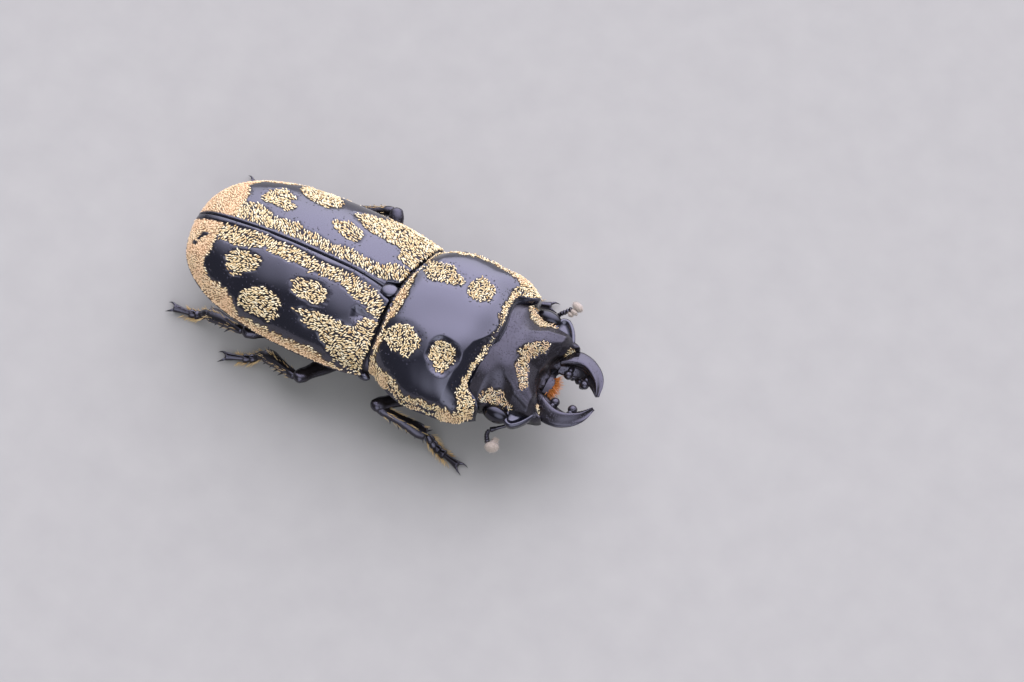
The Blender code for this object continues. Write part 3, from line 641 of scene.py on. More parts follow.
# Outlines of the scale-filled marks, x and distance from the suture by turns; left and right differ
spotsOf = {
    "right": (
        (-6.79, 1.26, -6.93, 1.59, -6.84, 1.79, -6.68, 2.04, -6.43, 2.14, -6.06, 2.19, -6.0, 2.06,
         -5.81, 1.89, -5.51, 1.69, -5.42, 1.28, -5.83, 1.09, -6.27, 1.12, -6.5, 1.15),
        (-5.72, 2.96, -5.72, 2.68, -5.51, 2.47, -5.33, 2.33, -5.01, 2.17, -4.6, 2.15, -4.23, 2.22,
         -3.88, 2.39, -3.83, 2.61, -3.88, 2.79, -3.88, 3.07, -4.23, 3.2, -4.63, 3.21, -5.04, 3.15,
         -5.51, 3.05),
        (-3.83, 1.66, -3.79, 1.43, -3.25, 1.19, -2.82, 1.16, -2.33, 1.27, -2.23, 1.45, -2.23, 1.78,
         -2.5, 2.02, -2.82, 2.06, -3.15, 2.02, -3.62, 1.9),
        (-3.35, 2.45, -3.15, 2.42, -2.57, 2.2, -2.33, 2.17, -1.56, 2.2, -0.99, 2.17, -0.8, 2.02,
         -0.62, 1.74, -0.4, 1.54, -0.11, 1.47, 0.6, 1.5, 0.6, 3.3, -0.17, 3.36, -0.61, 3.36, -1.0, 3.36,
         -1.29, 3.26, -1.63, 3.13, -1.8, 3.01, -2.23, 2.8, -2.42, 2.88, -2.82, 2.72, -3.2, 2.55),
    ),
    "left": (
        (-6.91, 1.47, -6.96, 1.73, -6.79, 2.05, -6.4, 2.31, -6.14, 2.34, -5.86, 2.21, -5.63, 2.14,
         -5.54, 1.99, -5.81, 1.85, -5.6, 1.71, -5.33, 1.57, -5.48, 1.29, -5.78, 1.23, -6.25, 1.32,
         -6.55, 1.3, -6.79, 1.34),
        (-5.83, 2.72, -5.72, 3.1, -5.33, 3.17, -4.81, 3.23, -4.27, 3.25, -3.75, 2.71, -3.88, 2.35,
         -4.35, 2.16, -4.94, 2.22, -5.45, 2.4),
        (-3.71, 1.6, -3.44, 1.82, -2.99, 1.99, -2.42, 1.82, -2.23, 1.58, -2.23, 1.14, -2.57, 1.08,
         -3.15, 1.17),
        (-3.2, 2.46, -2.82, 2.76, -2.23, 2.94, -1.52, 3.33, -0.79, 3.53, -0.07, 3.45, 0.7, 3.4, 0.7, 1.3,
         -0.23, 1.33, -0.59, 1.42, -0.59, 1.77, -0.91, 1.89, -1.25, 1.81, -1.6, 1.95, -1.99, 1.85,
         -2.33, 1.99, -2.82, 2.22),
    ),
}
# The band along the suture, between an inner and an outer line, from tail to base
bandsOf = {
    "right": ((-9.2, 0.26, -8.0, 0.27, -7.47, 0.25, -6.87, 0.22, -6.22, 0.14, -5.72, 0.12, -5.3, 0.26,
               -4.6, 0.17, -3.71, 0.26, -2.88, 0.3, -2.42, 0.26, -1.75, 0.21, -1.3, 0.31, -0.86, 0.3,
               -0.59, 0.31, -0.28, 0.54, -0.06, 0.73),
              (-7.79, 0.88, -7.22, 1.04, -6.68, 1.04, -6.14, 0.94, -5.75, 0.79, -5.54, 0.65, -5.27, 0.81,
               -5.04, 0.83, -4.23, 0.88, -3.79, 0.83, -3.39, 0.92, -2.57, 0.86, -1.93, 0.87, -1.52, 1.0,
               -1.07, 1.15, -0.77, 1.19, -0.52, 1.3, -0.24, 1.38)),
    "left": ((-9.2, 0.12, -8.87, 0.12, -7.53, 0.15, -7.0, 0.16, -6.5, 0.15, -5.83, 0.15, -4.53, 0.18,
              -3.25, 0.17, -1.87, 0.16, -0.91, 0.17, -0.55, 0.28, -0.17, 0.48),
             (-7.41, 1.0, -6.96, 1.15, -6.55, 1.05, -6.22, 0.95, -5.92, 0.75, -5.57, 0.84, -5.17, 0.85,
              -4.81, 0.95, -4.53, 0.77, -3.71, 0.76, -3.2, 0.67, -2.42, 0.78, -1.93, 0.72, -1.44, 0.7,
              -0.94, 0.71, -0.67, 0.96, -0.39, 1.16, -0.12, 1.13)),
}
# The inner edge of the crust, which covers the tail and runs on along the rim
crustOf = {
    "right": (-7.74, 0.86, -7.72, 1.19, -7.66, 1.49, -7.81, 1.87, -7.75, 2.05, -7.55, 2.32, -7.2, 2.52,
              -6.84, 2.55, -6.43, 2.66, -6.09, 2.82, -5.89, 2.95, -5.78, 3.12, -5.66, 3.2, -5.2, 3.27,
              -4.56, 3.33, -3.92, 3.34, -3.25, 3.37, -2.42, 3.35, -1.38, 3.38, -0.98, 3.42, -0.42, 3.37,
              0.3, 3.31),
    "left": (-7.47, 0.98, -7.47, 1.46, -7.75, 1.92, -7.6, 2.25, -7.25, 2.5, -6.84, 2.6, -6.43, 2.72,
             -6.09, 2.88, -5.8, 3.12, -5.2, 3.3, -4.56, 3.36, -3.25, 3.4, -1.38, 3.42, -0.42, 3.42,
             0.3, 3.42),
}
# Bare slivers in the crust, and the hollow of the right shoulder
barrenOf = {
    "right": ((-8.56, 1.21, -8.44, 0.96, -8.22, 0.74, -7.98, 0.72, -8.01, 0.87, -8.28, 1.02, -8.43, 1.24),
              (-8.67, 1.39, -8.66, 1.28, -8.48, 1.33, -8.51, 1.42)),
    "left": ((-8.57, 0.59, -8.52, 0.76, -8.26, 0.9, -8.01, 0.84, -8.03, 0.63, -8.29, 0.6),),
}
shoulderHollow = outlineOf((-0.98, 1.81, -1.06, 1.53, -0.97, 1.37, -0.75, 1.37, -0.26, 1.45, -0.4, 1.57,
                            -0.62, 1.76, -0.75, 1.99))


def elytronSurface(u, v, inset=0.0):
    # u runs from the base to the tail and v from the suture over the dome to the rolled rim; an inset
    # gives the inner face
    e = elytra
    length = e["widestX"] - e["tailX"] - e["tailInset"] * inset
    fore = u < e["shoulderShare"]
    swing = np.clip((u - e["shoulderShare"]) / (1 - e["shoulderShare"]), 0, 1) * e["tailSwing"]
    share, closing = np.sin(swing), np.maximum(np.cos(swing), 0.02)
    x = np.where(fore, mix(e["baseX"], e["widestX"], u / e["shoulderShare"]),
                 e["widestX"] - length * share ** e["tailSpacing"])
    shoulder = np.clip((x - e["widestX"]) / (e["baseX"] - e["widestX"]), 0, 1)
    halfWidth = e["halfWidth"] - inset
    halfWidth = np.where(fore, halfWidth - e["shoulderIn"] * shoulder ** 2,
                         halfWidth * closing ** e["sideFall"])
    rise = e["topZ"] - e["edgeZ"] - inset
    rise = np.where(fore, rise - e["baseDrop"] * shoulder ** 2,
                    rise * closing ** e["backFall"] * (1 - e["tailFlat"] * share ** 2))
    edgeZ = mix(e["edgeZ"], e["apexZ"], smooth(e["apexFrom"], 1.0, share))
    outer = inset == 0
    flare = e["flare"] * np.minimum(halfWidth / e["flareFade"], 1.0) * outer
    foot = e["domeAngle"] if outer else math.pi / 2
    footAcross, footLift = arch(np.array(foot), e["roundness"])
    across, lift = arch(np.minimum(v / e["domeShare"], 1.0) * foot, e["roundness"])
    y = e["seam"] + ((halfWidth - flare) / footAcross - e["seam"]) * across
    z = edgeZ + rise * lift
    if outer:
        slide = np.clip((v - e["domeShare"]) / (e["rimShare"] - e["domeShare"]), 0, 1)
        y = y + flare * slide
        z = z - (rise * footLift - e["rimLift"]) * slide
        roll = mix(e["rollFrom"], e["rollTo"], np.clip((v - e["rimShare"]) / (1 - e["rimShare"]), 0, 1))
        lip = v > e["rimShare"]
        radius = e["rimRadius"] * np.minimum(halfWidth, 1.0)
        y = np.where(lip, halfWidth + radius * (np.cos(roll) - math.cos(e["rollFrom"])), y)
        z = np.where(lip, edgeZ + e["rimLift"] + radius * (np.sin(roll) - math.sin(e["rollFrom"])), z)
    forward = e["shoulderFore"] * smooth(0.8, 2.8, y) - e["notch"] * (1 - smooth(0.24, 0.5, y))
    x = x + forward * np.clip(1 - u / e["shoulderShare"], 0, 1)
    return np.stack([x, y, z], -1)


def elytronRelief(label):
    e = elytra
    spots = [outlineOf(spot, rounds=2) for spot in spotsOf[label]]
    inner, outer = (outlineOf(line) for line in bandsOf[label])
    crustLine = outlineOf(crustOf[label])
    tail = crustLine + [(0.3, 4.5), (-10.5, 4.5), (-10.5, -1.0), (crustLine[0][0], -1.0)]
    seed = e["seeds"][label]

    def relief(place, u, v):
        x, y = place[..., 0], np.abs(place[..., 1])
        ragged = raggedBy(x, y, seed)
        apart = y - lineAt(inner, x) - 0.5 * ragged
        band = np.minimum(lineAt(outer, x) - y, apart)
        filled = insideBy(tail, x, y)
        crust = np.minimum(filled, apart)
        for sliver in barrenOf[label]:
            crust = np.minimum(crust, -insideBy(outlineOf(sliver), x, y) - 0.01)
        mark = np.max([insideBy(spot, x, y) for spot in spots] + [band, crust], axis=0) + ragged
        mark = np.minimum(mark, (e["rimShare"] + 0.004 - v) * e["edgeSpeed"])
        dusty = smooth(-0.05, 0.15, filled) * (0.75 + 0.25 * ripple(x, y, 0.9, seed + 3))
        height = -e["sink"] * smooth(-0.06, 0.06, mark)
        # A raised bead beside the suture, and swells so low that only the sheen shows them
        strip = 1 - smooth(-0.06, 0.02, apart)
        height += e["bead"] * np.sqrt(np.clip(y / 0.07, 0, 1)) * strip - 0.02 * strip
        if label == "right":
            height -= e["hollow"] * smooth(-0.12, 0.2, insideBy(shoulderHollow, x, y))
        height += e["swell"] * ripple(x, y, 1.9, seed + 5) * smooth(0.3, 0.8, y)
        return height, mark, np.clip(dusty, 0, 1)

    return relief


def elytronCourse(spots):
    # Scales stand off the suture in its band, and lie in wavy rows along the body elsewhere
    x, y = spots[:, 0], np.abs(spots[:, 1])
    besideSeam = 1 - smooth(0.9, 1.3, y)
    lean = mix(math.radians(12), math.radians(62), besideSeam * smooth(-9.0, -7.5, x))
    return lean + math.radians(38) * ripple(x, spots[:, 1], 0.75, elytra["courseSeed"])


scaleForm = sprig(((0.06, 0.4, 0.05), (0.25, 0.85, 0.6), (0.5, 1.0, 1.0), (0.78, 0.85, 1.0),
                   (0.95, 0.35, 0.8)), 5)
# Each kind's size, the room kept along and across it, how far it strays from its course, its tone, and how
# many roots are tried on a square millimetre
scaleKinds = {
    "wingCase": {"length": 0.148, "width": 0.06, "lift": 0.026, "along": 0.106, "across": 0.054,
                 "stray": 0.14, "tone": 0.55, "toneSpread": 0.22, "tries": 480},
    "shield": {"length": 0.13, "width": 0.054, "lift": 0.04, "along": 0.079, "across": 0.051,
               "stray": 0.6, "tone": 0.55, "toneSpread": 0.22, "tries": 520},
    "ledge": {"length": 0.08, "width": 0.026, "lift": 0.03, "along": 0.07, "across": 0.045,
              "stray": 0.7, "tone": 0.55, "toneSpread": 0.22, "tries": 900},
    "head": {"length": 0.12, "width": 0.034, "lift": 0.05, "along": 0.07, "across": 0.045,
             "stray": 0.7, "tone": 0.54, "toneSpread": 0.396, "tries": 900},
}


def scaleCoat(name, skin, kind, courseOf, seed, keep=None):
    # Fills the marks of a skin with scales, each with a size, a tilt and a tone of its own
    coat = scatter(skin, kind, courseOf, seed, keep)
    draw, count = coat["draw"], len(coat["root"])
    sunkIn = 0.008
    long = kind["length"] * draw.uniform(0.8, 1.15, count) * coat["shrink"]
    wide = kind["width"] * draw.uniform(0.85, 1.15, count) * coat["shrink"] ** 0.5
    coat["size"] = np.stack([long, wide, wide * 0.75, kind["lift"] * draw.uniform(0.4, 1.6, count)], 1)
    coat["tone"] = np.clip(draw.normal(kind["tone"], kind["toneSpread"], count), 0.02, 1.0)
    coat["root"] = coat["root"] - coat["along"] * long[:, None] / 2 + coat["normal"] * sunkIn
    coatPiece(name, scaleForm, coat, scaleGold)
    print(name, "with", count, "scales")


for label, side in sides.items():
    skin = skinOf(lambda u, v: askew(toSide(elytronSurface(u, v), side)), elytra["columns"], elytra["rows"],
                  elytronRelief(label), (-4, 0.5 * side, 2), elytra["crowding"])
    inside = toSide(elytronSurface(skin["u"], skin["v"], elytra["shell"]), side)
    points, faces = plateFrom(skin, askew(inside))
    newPiece(f"wingCase_{label}", points, faces, chitin, [f"elytron_{label}"],
             skinValues(skin))
    scaleCoat(f"wingCaseScales_{label}", skin, scaleKinds["wingCase"], elytronCourse, 21 + side)


# Scutellum: a low polished bead set between the bases of the wing cases


bead = {"centre": (-0.19, 0, 4.46), "radii": (0.37, 0.36, 0.15), "columns": 44, "rows": 28,
        "lean": math.radians(-14)}
points, faces = ballAt(bead["centre"], bead["radii"], bead["columns"], bead["rows"],
                       Matrix.Rotation(bead["lean"], 3, "X"))
newPiece("scutellumBead", points, faces, chitin, ["scutellum"])


# Pronotum: the wide shield, with a raised disc, four pits and a scale-filled border


pronotum = {
    "hindX": 0.2, "frontX": 4.82, "angleX": 5.3, "topZ": 5.0, "edgeZ": 2.82, "roundness": 2.3,
    "frontDip": 0.2, "edgeFall": 0.15, "hindFall": 0.2, "frontFall": 0.42, "length": 4.6,
    "halfWidths": (2.86, 3.26, 3.56, 3.69, 3.69, 3.64, 3.58, 3.43, 3.05),
    "deepPit": 0.34, "shallowPit": 0.08, "hindPit": 0.07, "borderStep": 0.06,
    "sideBand": 0.44, "sideGroove": 0.62, "lowRow": 0.8, "groove": 0.05, "rimBead": 0.05, "rimRoll": 0.14,
    "scarp": 0.2, "scarpY": (0, 0.3, 0.7, 1.2, 2.4), "scarpX": (4.45, 4.28, 3.98, 3.86, 3.8),
    "scarpFoot": 4.5, "hindWaves": 0.04, "swell": 0.013, "columns": 190, "rows": 256, "seed": 13,
    "insideWidth": 0.93, "insideHeight": 0.88, "insideDrop": 0.2,
}
# The disc's edge, x and distance from the middle line by turns
discLeft = (0.64, 0.31, 0.54, 0.84, 0.55, 1.26, 0.65, 1.76, 0.7, 2.26, 0.78, 2.71, 1.14, 2.78,
            1.58, 2.83, 1.95, 2.96, 2.34, 3.09, 2.68, 3.14, 3.05, 3.13, 3.5, 3.07, 3.84, 3.02,
            4.15, 2.95, 4.34, 2.78, 4.25, 2.33, 4.25, 1.87, 4.27, 1.4, 4.35, 0.98, 4.48, 0.65)
discRight = (0.71, 0.08, 0.74, 0.48, 0.71, 0.78, 0.64, 1.08, 0.53, 1.32, 0.47, 1.63, 0.54, 1.95,
             0.6, 2.33, 0.58, 2.57, 0.65, 2.82, 0.87, 2.98, 1.25, 3.09, 1.56, 3.24, 1.92, 3.39,
             2.15, 3.47, 2.38, 3.52, 2.69, 3.52, 3.01, 3.46, 3.42, 3.4, 3.76, 3.4, 4.12, 3.38, 4.4, 3.3,
             4.56, 3.17, 4.48, 3.0, 4.32, 2.88, 4.25, 2.63, 4.27, 2.32, 4.32, 1.96, 4.32, 1.61,
             4.38, 1.28, 4.41, 0.89, 4.45, 0.54, 4.52, 0.14)
discOutline = outlineOf(discLeft) + outlineOf(discRight, -1)[::-1]
hindPits = (outlineOf((0.67, 1.63, 0.78, 1.86, 0.95, 1.97, 1.24, 1.96, 1.52, 2.05, 1.77, 2.0, 1.99, 1.83,
                       2.23, 1.74, 2.45, 1.57, 2.48, 1.36, 2.29, 1.19, 1.99, 1.15, 1.76, 1.07,
                       1.52, 1.01, 1.32, 0.94, 1.07, 0.97, 0.77, 1.2), rounds=3),
            outlineOf((0.6, 2.06, 0.54, 1.75, 0.66, 1.56, 0.85, 1.37, 1.11, 1.27, 1.41, 1.22, 1.73, 1.31,
                       2.0, 1.41, 2.16, 1.62, 2.18, 1.91, 2.08, 2.17, 1.95, 2.38, 1.81, 2.43, 1.51, 2.39,
                       1.24, 2.41, 0.91, 2.28), -1, 3))
frontPits = (outlineOf((2.65, 1.44, 2.69, 1.71, 2.83, 1.99, 3.01, 2.17, 3.32, 2.1, 3.59, 2.01,
                        3.73, 1.82, 3.81, 1.51, 3.7, 1.19, 3.49, 0.99, 3.23, 0.95, 2.99, 0.97,
                        2.75, 1.18), rounds=3),
             outlineOf((2.62, 1.98, 2.6, 1.67, 2.62, 1.45, 2.78, 1.23, 3.04, 1.2, 3.28, 1.23, 3.53, 1.29,
                        3.72, 1.48, 3.74, 1.78, 3.63, 2.09, 3.49, 2.37, 3.26, 2.44, 2.99, 2.36,
                        2.8, 2.15), -1, 3))


def pronotumSurface(u, v):
    # u runs from the hind edge to the front and v from the right edge over the crown to the left
    p = pronotum
    across, lift = arch((2 * v - 1) * math.pi / 2, p["roundness"])
    spread = np.abs(across)
    hind = p["hindX"] + 0.2 * smooth(0.0, 0.75, spread)
    front = p["frontX"] - p["frontDip"] * smooth(0.15, 0.62, spread)
    front = front + (p["angleX"] - p["frontX"] + p["frontDip"]) * smooth(0.66, 0.95, spread)
    x = mix(hind, front - 0.1 * smooth(0.9, 1.0, spread), u)
    edgeZ = p["edgeZ"] - p["edgeFall"] * u
    crown = (p["topZ"] - p["hindFall"] * (1 - smooth(0.0, 0.16, u))
             - p["frontFall"] * smooth(0.62, 1.0, u) ** 1.4)
    return np.stack([x, runThrough(p["halfWidths"], u) * across, edgeZ + (crown - edgeZ) * lift], -1)


def pronotumRelief(place, u, v):
    p = pronotum
    seed = p["seed"]
    x, y = place[..., 0], place[..., 1]
    spread = np.abs(y)
    ragged = raggedBy(x, y, seed)
    border = -insideBy(discOutline, x, y) + ragged
    # How far down the flank each place lies from the edge of the disc
    steps = np.linalg.norm(np.diff(place, axis=1, prepend=place[:, :1]), axis=-1)
    run = np.cumsum(steps, axis=1)
    below = np.zeros(x.shape)
    for column in range(len(x)):
        inside = np.nonzero(border[column] < 0)[0]
        if len(inside):
            first, last = run[column, inside[0]], run[column, inside[-1]]
            below[column] = np.maximum(np.maximum(first - run[column], run[column] - last), 0)
    flank = smooth(0.9, 1.5, x) * (1 - smooth(3.7, 4.1, x))
    lower = np.minimum(below - p["sideGroove"], p["lowRow"] - below)
    sideMark = np.maximum(p["sideBand"] - below, np.where(y < 0, lower, -1.0)) + 0.5 * ragged
    mark = np.minimum(border, mix(1.0, sideMark, flank))
    hindPit = np.max([insideBy(pit, x, y) for pit in hindPits], axis=0)
    frontPit = np.max([insideBy(pit, x, y) for pit in frontPits], axis=0)
    pit = np.maximum(hindPit, frontPit)
    mark = np.maximum(mark, pit + ragged)
    # The rolled front rim stays bare and black
    middle = 1 - smooth(2.2, 2.8, spread)
    hind, front = u * p["length"], (1 - u) * p["length"]
    rim = np.min([hind - 0.08, front - 0.04 - 0.1 * middle, (0.5 - np.abs(v - 0.5)) * 12 - 0.1], axis=0)
    mark = np.minimum(mark, rim * 1.5)
    crust = smooth(0.0, 0.15, border) * (0.4 * smooth(0.9, 0.5, x) + 0.3 * smooth(2.9, 3.2, spread))
    # The right front pit is the deep one
    height = -p["hindPit"] * smooth(-0.3, 0.35, hindPit)
    height -= mix(p["shallowPit"], p["deepPit"], y < 0) * smooth(-0.2, 0.32, frontPit)
    # On the right the disc ends in a slope down to the front ledge
    scarp = np.interp(spread, p["scarpY"], p["scarpX"])
    onRight = (1 - smooth(-0.3, 0.05, y)) * smooth(-3.5, -3.0, y)
    height -= p["scarp"] * np.clip((x - scarp) / (p["scarpFoot"] - scarp), 0, 1) * onRight
    height -= p["borderStep"] * smooth(-0.05, 0.1, border)
    height -= p["groove"] * hill(below, (p["sideBand"] + p["sideGroove"]) / 2, 0.12) * flank
    height += p["rimBead"] * hill(rim, -0.02, 0.1) * smooth(-0.02, 0.1, border)
    height -= p["rimRoll"] * (1 - smooth(0.0, 0.2, front)) * middle
    waves = ripple(x, y, 0.28, seed + 5) * smooth(0.0, 0.15, border) * smooth(0.95, 0.6, x)
    height += p["hindWaves"] * waves + p["swell"] * ripple(x, y, 2.2, seed + 3)
    crust = crust + 0.3 * ripple(x, y, 0.8, seed + 2) * smooth(0.0, 0.1, border)
    return height, mark, np.clip(crust, 0, 1)


def strewn(lean, size, seed):
    # Courses of scales that lie nearly every way, changing over about size
    def course(spots):
        return math.radians(lean) + math.radians(75) * ripple(spots[:, 0], spots[:, 1], size, seed)

    return course


def pronotumKeep(spots):
    # They thin out on the front ledge towards the middle
    x, y = spots[:, 0], spots[:, 1]
    return 1 - smooth(4.1, 4.25, x) * np.minimum(smooth(-1.5, -0.3, y), 1 - smooth(0.5, 1.8, y))


def ledgeKeep(spots):
    # Between them the ledge carries very small ones
    x, y = spots[:, 0], spots[:, 1]
    return 0.4 * smooth(4.05, 4.25, x) * (1 - 0.8 * hill(y, 0.1, 0.9)) * (np.abs(y) < 2.4)


shieldSkin = skinOf(lambda u, v: askew(pronotumSurface(u, v)), pronotum["columns"], pronotum["rows"],
                    pronotumRelief, (2.4, 0, 2))
plain = askew(pronotumSurface(shieldSkin["u"], shieldSkin["v"]))
edge = pronotum["edgeZ"] - pronotum["edgeFall"] * shieldSkin["u"]
shieldInside = np.stack([mix(plain[..., 0], 2.45, 0.01), plain[..., 1] * pronotum["insideWidth"],
                         mix(edge, plain[..., 2], pronotum["insideHeight"]) - pronotum["insideDrop"]], -1)
points, faces = plateFrom(shieldSkin, shieldInside)
newPiece("shield", points, faces, chitin, ["pronotum"], skinValues(shieldSkin))
shieldCourse = strewn(30, 0.45, pronotum["seed"] + 4)
scaleCoat("shieldScales", shieldSkin, scaleKinds["shield"], shieldCourse, 41, pronotumKeep)
scaleCoat("ledgeScales", shieldSkin, scaleKinds["ledge"], shieldCourse, 43, ledgeKeep)
# A small bare plate behind each hind corner
plate = {"centre": (0.25, 3.22, 2.76), "radii": (0.28, 0.17, 0.17)}
points, faces = gather([ballAt(toSide(plate["centre"], side), plate["radii"], 32, 20)
                        for side in sides.values()])
newPiece("sidePlates", points, faces, chitin)
print("shield made")


# Head: domed under the shield, then a ridge runs out on each side of a hollow brow to a low front corner


head = {
    "rearX": 4.55, "length": 3.1, "columns": 200, "rows": 240,
    "ridgeX": (5.0, 5.6, 6.25, 7.05, 7.6), "ridgeY": (0.75, 1.05, 1.5, 1.74, 1.75),
    "ridgeZ": (4.25, 4.15, 3.9, 3.58, 3.25),
    "halfX": (4.55, 5.0, 5.4, 5.7, 6.1, 6.5, 7.0, 7.4, 7.65),
    "halfY": (2.45, 2.5, 2.38, 2.22, 2.17, 2.1, 2.0, 1.95, 1.8),
    "frontY": (0, 0.5, 0.75, 1.0, 1.3, 1.6, 1.8, 2.0),
    "frontX": (7.0, 7.12, 7.25, 7.42, 7.6, 7.66, 7.6, 7.42),
    "rearTop": 4.33, "rearEdge": 2.7, "rearHalf": 2.62, "rearRoundness": 2.4,
    "browX": 5.6, "browDepth": 1.0, "browRun": 1.45, "cheek": 1.1, "lowest": 2.95, "saddle": 0.22,
    "underZ": 1.75, "marginFall": 0.3, "crest": 0.024, "eyeRim": 0.05, "sink": 0.04, "edgeRound": 0.12,
    "swell": 0.008, "seed": 23,
}
# Scale-filled patches: one on the brow, one over each eye, and one at each front corner as an oval
browPatch = outlineOf((5.65, 0.12, 5.69, 0.41, 5.91, 0.58, 6.16, 0.82, 6.43, 1.08, 6.62, 1.07,
                       6.62, 0.88, 6.52, 0.64, 6.36, 0.4, 6.18, 0.13, 6.14, -0.04, 6.3, -0.36,
                       6.51, -0.77, 6.65, -1.12, 6.6, -1.3, 6.44, -1.32, 6.24, -1.12, 6.03, -0.89,
                       5.82, -0.65, 5.78, -0.48, 5.84, -0.15, 5.68, -0.03))
eyePatch = outlineOf((4.99, 2.32, 5.08, 2.15, 5.25, 1.92, 5.34, 1.75, 5.48, 1.68, 5.63, 1.61, 5.83, 1.66,
                      6.06, 1.76, 6.2, 1.85, 6.46, 2.0, 6.44, 2.06, 6.15, 2.11, 5.85, 2.12, 5.55, 2.2,
                      5.37, 2.3, 5.18, 2.38))
cornerPatch = (7.39, 1.36, 0.19, 0.24)


def headHeight(x, y):
    h = head
    spread = np.abs(y)
    ridgeY, ridgeZ = (np.interp(x, h["ridgeX"], h[name]) for name in ("ridgeY", "ridgeZ"))
    ridgeZ = ridgeZ - h["saddle"] * smooth(6.95, 7.25, x) * (1 - smooth(7.3, 7.7, x))
    outer = ridgeZ - h["cheek"] * (spread - ridgeY)
    crown = ridgeZ + 0.1 * (1 - (spread / ridgeY) ** 2)
    # The brow breaks over a rounded crest, then falls away to the front margin
    fall = (x - (h["browX"] + 0.75 * spread + 0.2 * spread ** 2)) / h["browRun"]
    fall = np.where(fall > 0.12, fall, np.maximum(fall + 0.12, 0) ** 2 / 0.48)
    inner = crown - h["browDepth"] * np.minimum(fall, 1.1)
    form = np.maximum(softMin(inner, outer, 0.18) + 0.05, h["lowest"])
    reach = np.minimum(spread / h["rearHalf"], 0.999)
    power = h["rearRoundness"]
    rear = h["rearEdge"] + (h["rearTop"] - h["rearEdge"]) * (1 - reach ** power) ** (1 / power)
    return mix(rear, form, smooth(4.95, 6.0, x))


def headSurface(u, v):
    # u runs from under the shield to the front margin, v from right to left; the edges are rounded down
    h = head
    x = h["rearX"] + h["length"] * u
    y = (2 * v - 1) * np.interp(x, h["halfX"], h["halfY"])
    for _ in range(3):
        x = mix(h["rearX"], np.interp(np.abs(y), h["frontY"], h["frontX"]), u)
        y = (2 * v - 1) * np.interp(x, h["halfX"], h["halfY"])
    z = headHeight(x, y) - h["edgeRound"] * np.clip((np.abs(2 * v - 1) - 0.96) / 0.04, 0, 1) ** 2
    return np.stack([x, y, z - h["edgeRound"] * np.clip((u - 0.975) / 0.025, 0, 1) ** 2], -1)


def headRelief(place, u, v):
    h = head
    x, y = place[..., 0], place[..., 1]
    spread = np.abs(y)
    patches = [insideBy(browPatch, x, y), insideBy(eyePatch, x, spread), ovalBy(x, spread, *cornerPatch)]
    mark = np.max(patches, axis=0) + raggedBy(x, y, h["seed"], 0.03, 0.4, 0.02)
    mark = np.minimum(mark, np.minimum(u - 0.1, 0.985 - u) * 6)
    front = np.interp(spread, h["frontY"], h["frontX"]) - x
    ridge = np.interp(x, h["ridgeX"], h["ridgeY"])
    height = -h["sink"] * smooth(-0.05, 0.07, mark)
    # The front margin bends down; a low crest lies on each ridge and a low rim over each eye
    height -= h["marginFall"] * (1 - smooth(0.0, 0.45, front)) * (1 - smooth(1.5, 1.8, spread))
    height += h["crest"] * hill(spread, ridge, 0.15) * smooth(5.4, 6.0, x) * (1 - smooth(6.9, 7.2, x))
    height += h["eyeRim"] * hill(spread, 2.08, 0.12) * smooth(5.3, 5.6, x) * (1 - smooth(6.1, 6.3, x))
    height += h["swell"] * ripple(x, y, 1.1, h["seed"] + 2)
    return height, mark, np.clip(0.22 + 0.45 * ripple(x, y, 0.4, h["seed"] + 3), 0, 0.7)


headSkin = skinOf(headSurface, head["columns"], head["rows"], headRelief, (6, 0, 2))
x, y, z = (headSkin["place"][..., axis] for axis in range(3))
chin = head["underZ"] + 0.35 * (2 * headSkin["u"] - 1) ** 2 + 0.12 * y * y
headInside = np.stack([x, y, np.minimum(np.minimum(chin, 2.5), z - 0.25)], -1)
points, faces = plateFrom(headSkin, headInside)
newPiece("headCapsule", points, faces, headChitin, ["head"], skinValues(headSkin))
scaleCoat("headScales", headSkin, scaleKinds["head"], strewn(20, 0.4, head["seed"] + 4), 51)

# The ear-shaped lobe before each eye: a shallow spoon with a thick bright rim
ear = {
    "centre": (6.74, 2.1), "top": 3.1, "under": 2.72, "rim": 0.05, "cup": 0.06, "rings": 18, "around": 72,
    "outline": ((6.2, 1.9), (6.22, 2.3), (6.3, 2.55), (6.47, 2.67), (6.68, 2.67), (6.88, 2.53), (7.05, 2.34),
                (7.2, 2.1), (7.3, 1.85), (7.2, 1.65), (6.8, 1.6), (6.4, 1.65), (6.2, 1.9)),
}


def earShape(side):
    outline = curveThrough(ear["outline"], ear["around"] + 1)[:-1]
    share = np.concatenate([np.linspace(0.04, 1, ear["rings"]), np.linspace(0.99, 0.04, ear["rings"])])
    share = share[:, None]
    plan = np.array(ear["centre"]) + (outline - np.array(ear["centre"])) * share[..., None]
    deep = insideBy([tuple(spot) for spot in outline], plan[..., 0], plan[..., 1])
    upper = ear["top"] + ear["rim"] * hill(deep, 0.09, 0.12) - ear["cup"] * smooth(0.12, 0.32, deep)
    lower = ear["under"] + 0.12 * (1 - smooth(0.0, 0.15, deep))
    z = np.where(np.arange(len(share))[:, None] < ear["rings"], upper, lower)
    return closedRings(np.stack([plan[..., 0], plan[..., 1] * side, z], -1))


points, faces = gather([earShape(side) for side in sides.values()])
newPiece("earLobes", points, faces, chitin)
print("head made")


# Eyes: long glassy domes in the notch behind each lobe


eye = {"centre": (5.86, 2.38, 2.97), "radii": (0.58, 0.36, 0.42), "columns": 44, "rows": 30}
for label, side in sides.items():
    points, faces = ballAt(toSide(eye["centre"], side), eye["radii"], eye["columns"], eye["rows"])
    newPiece(f"eyeDome_{label}", points, faces, eyeGlass, [f"eye_{label}"])


# Mandibles: short broad sickles, hollow on the inner face above a shelf with two round knobs


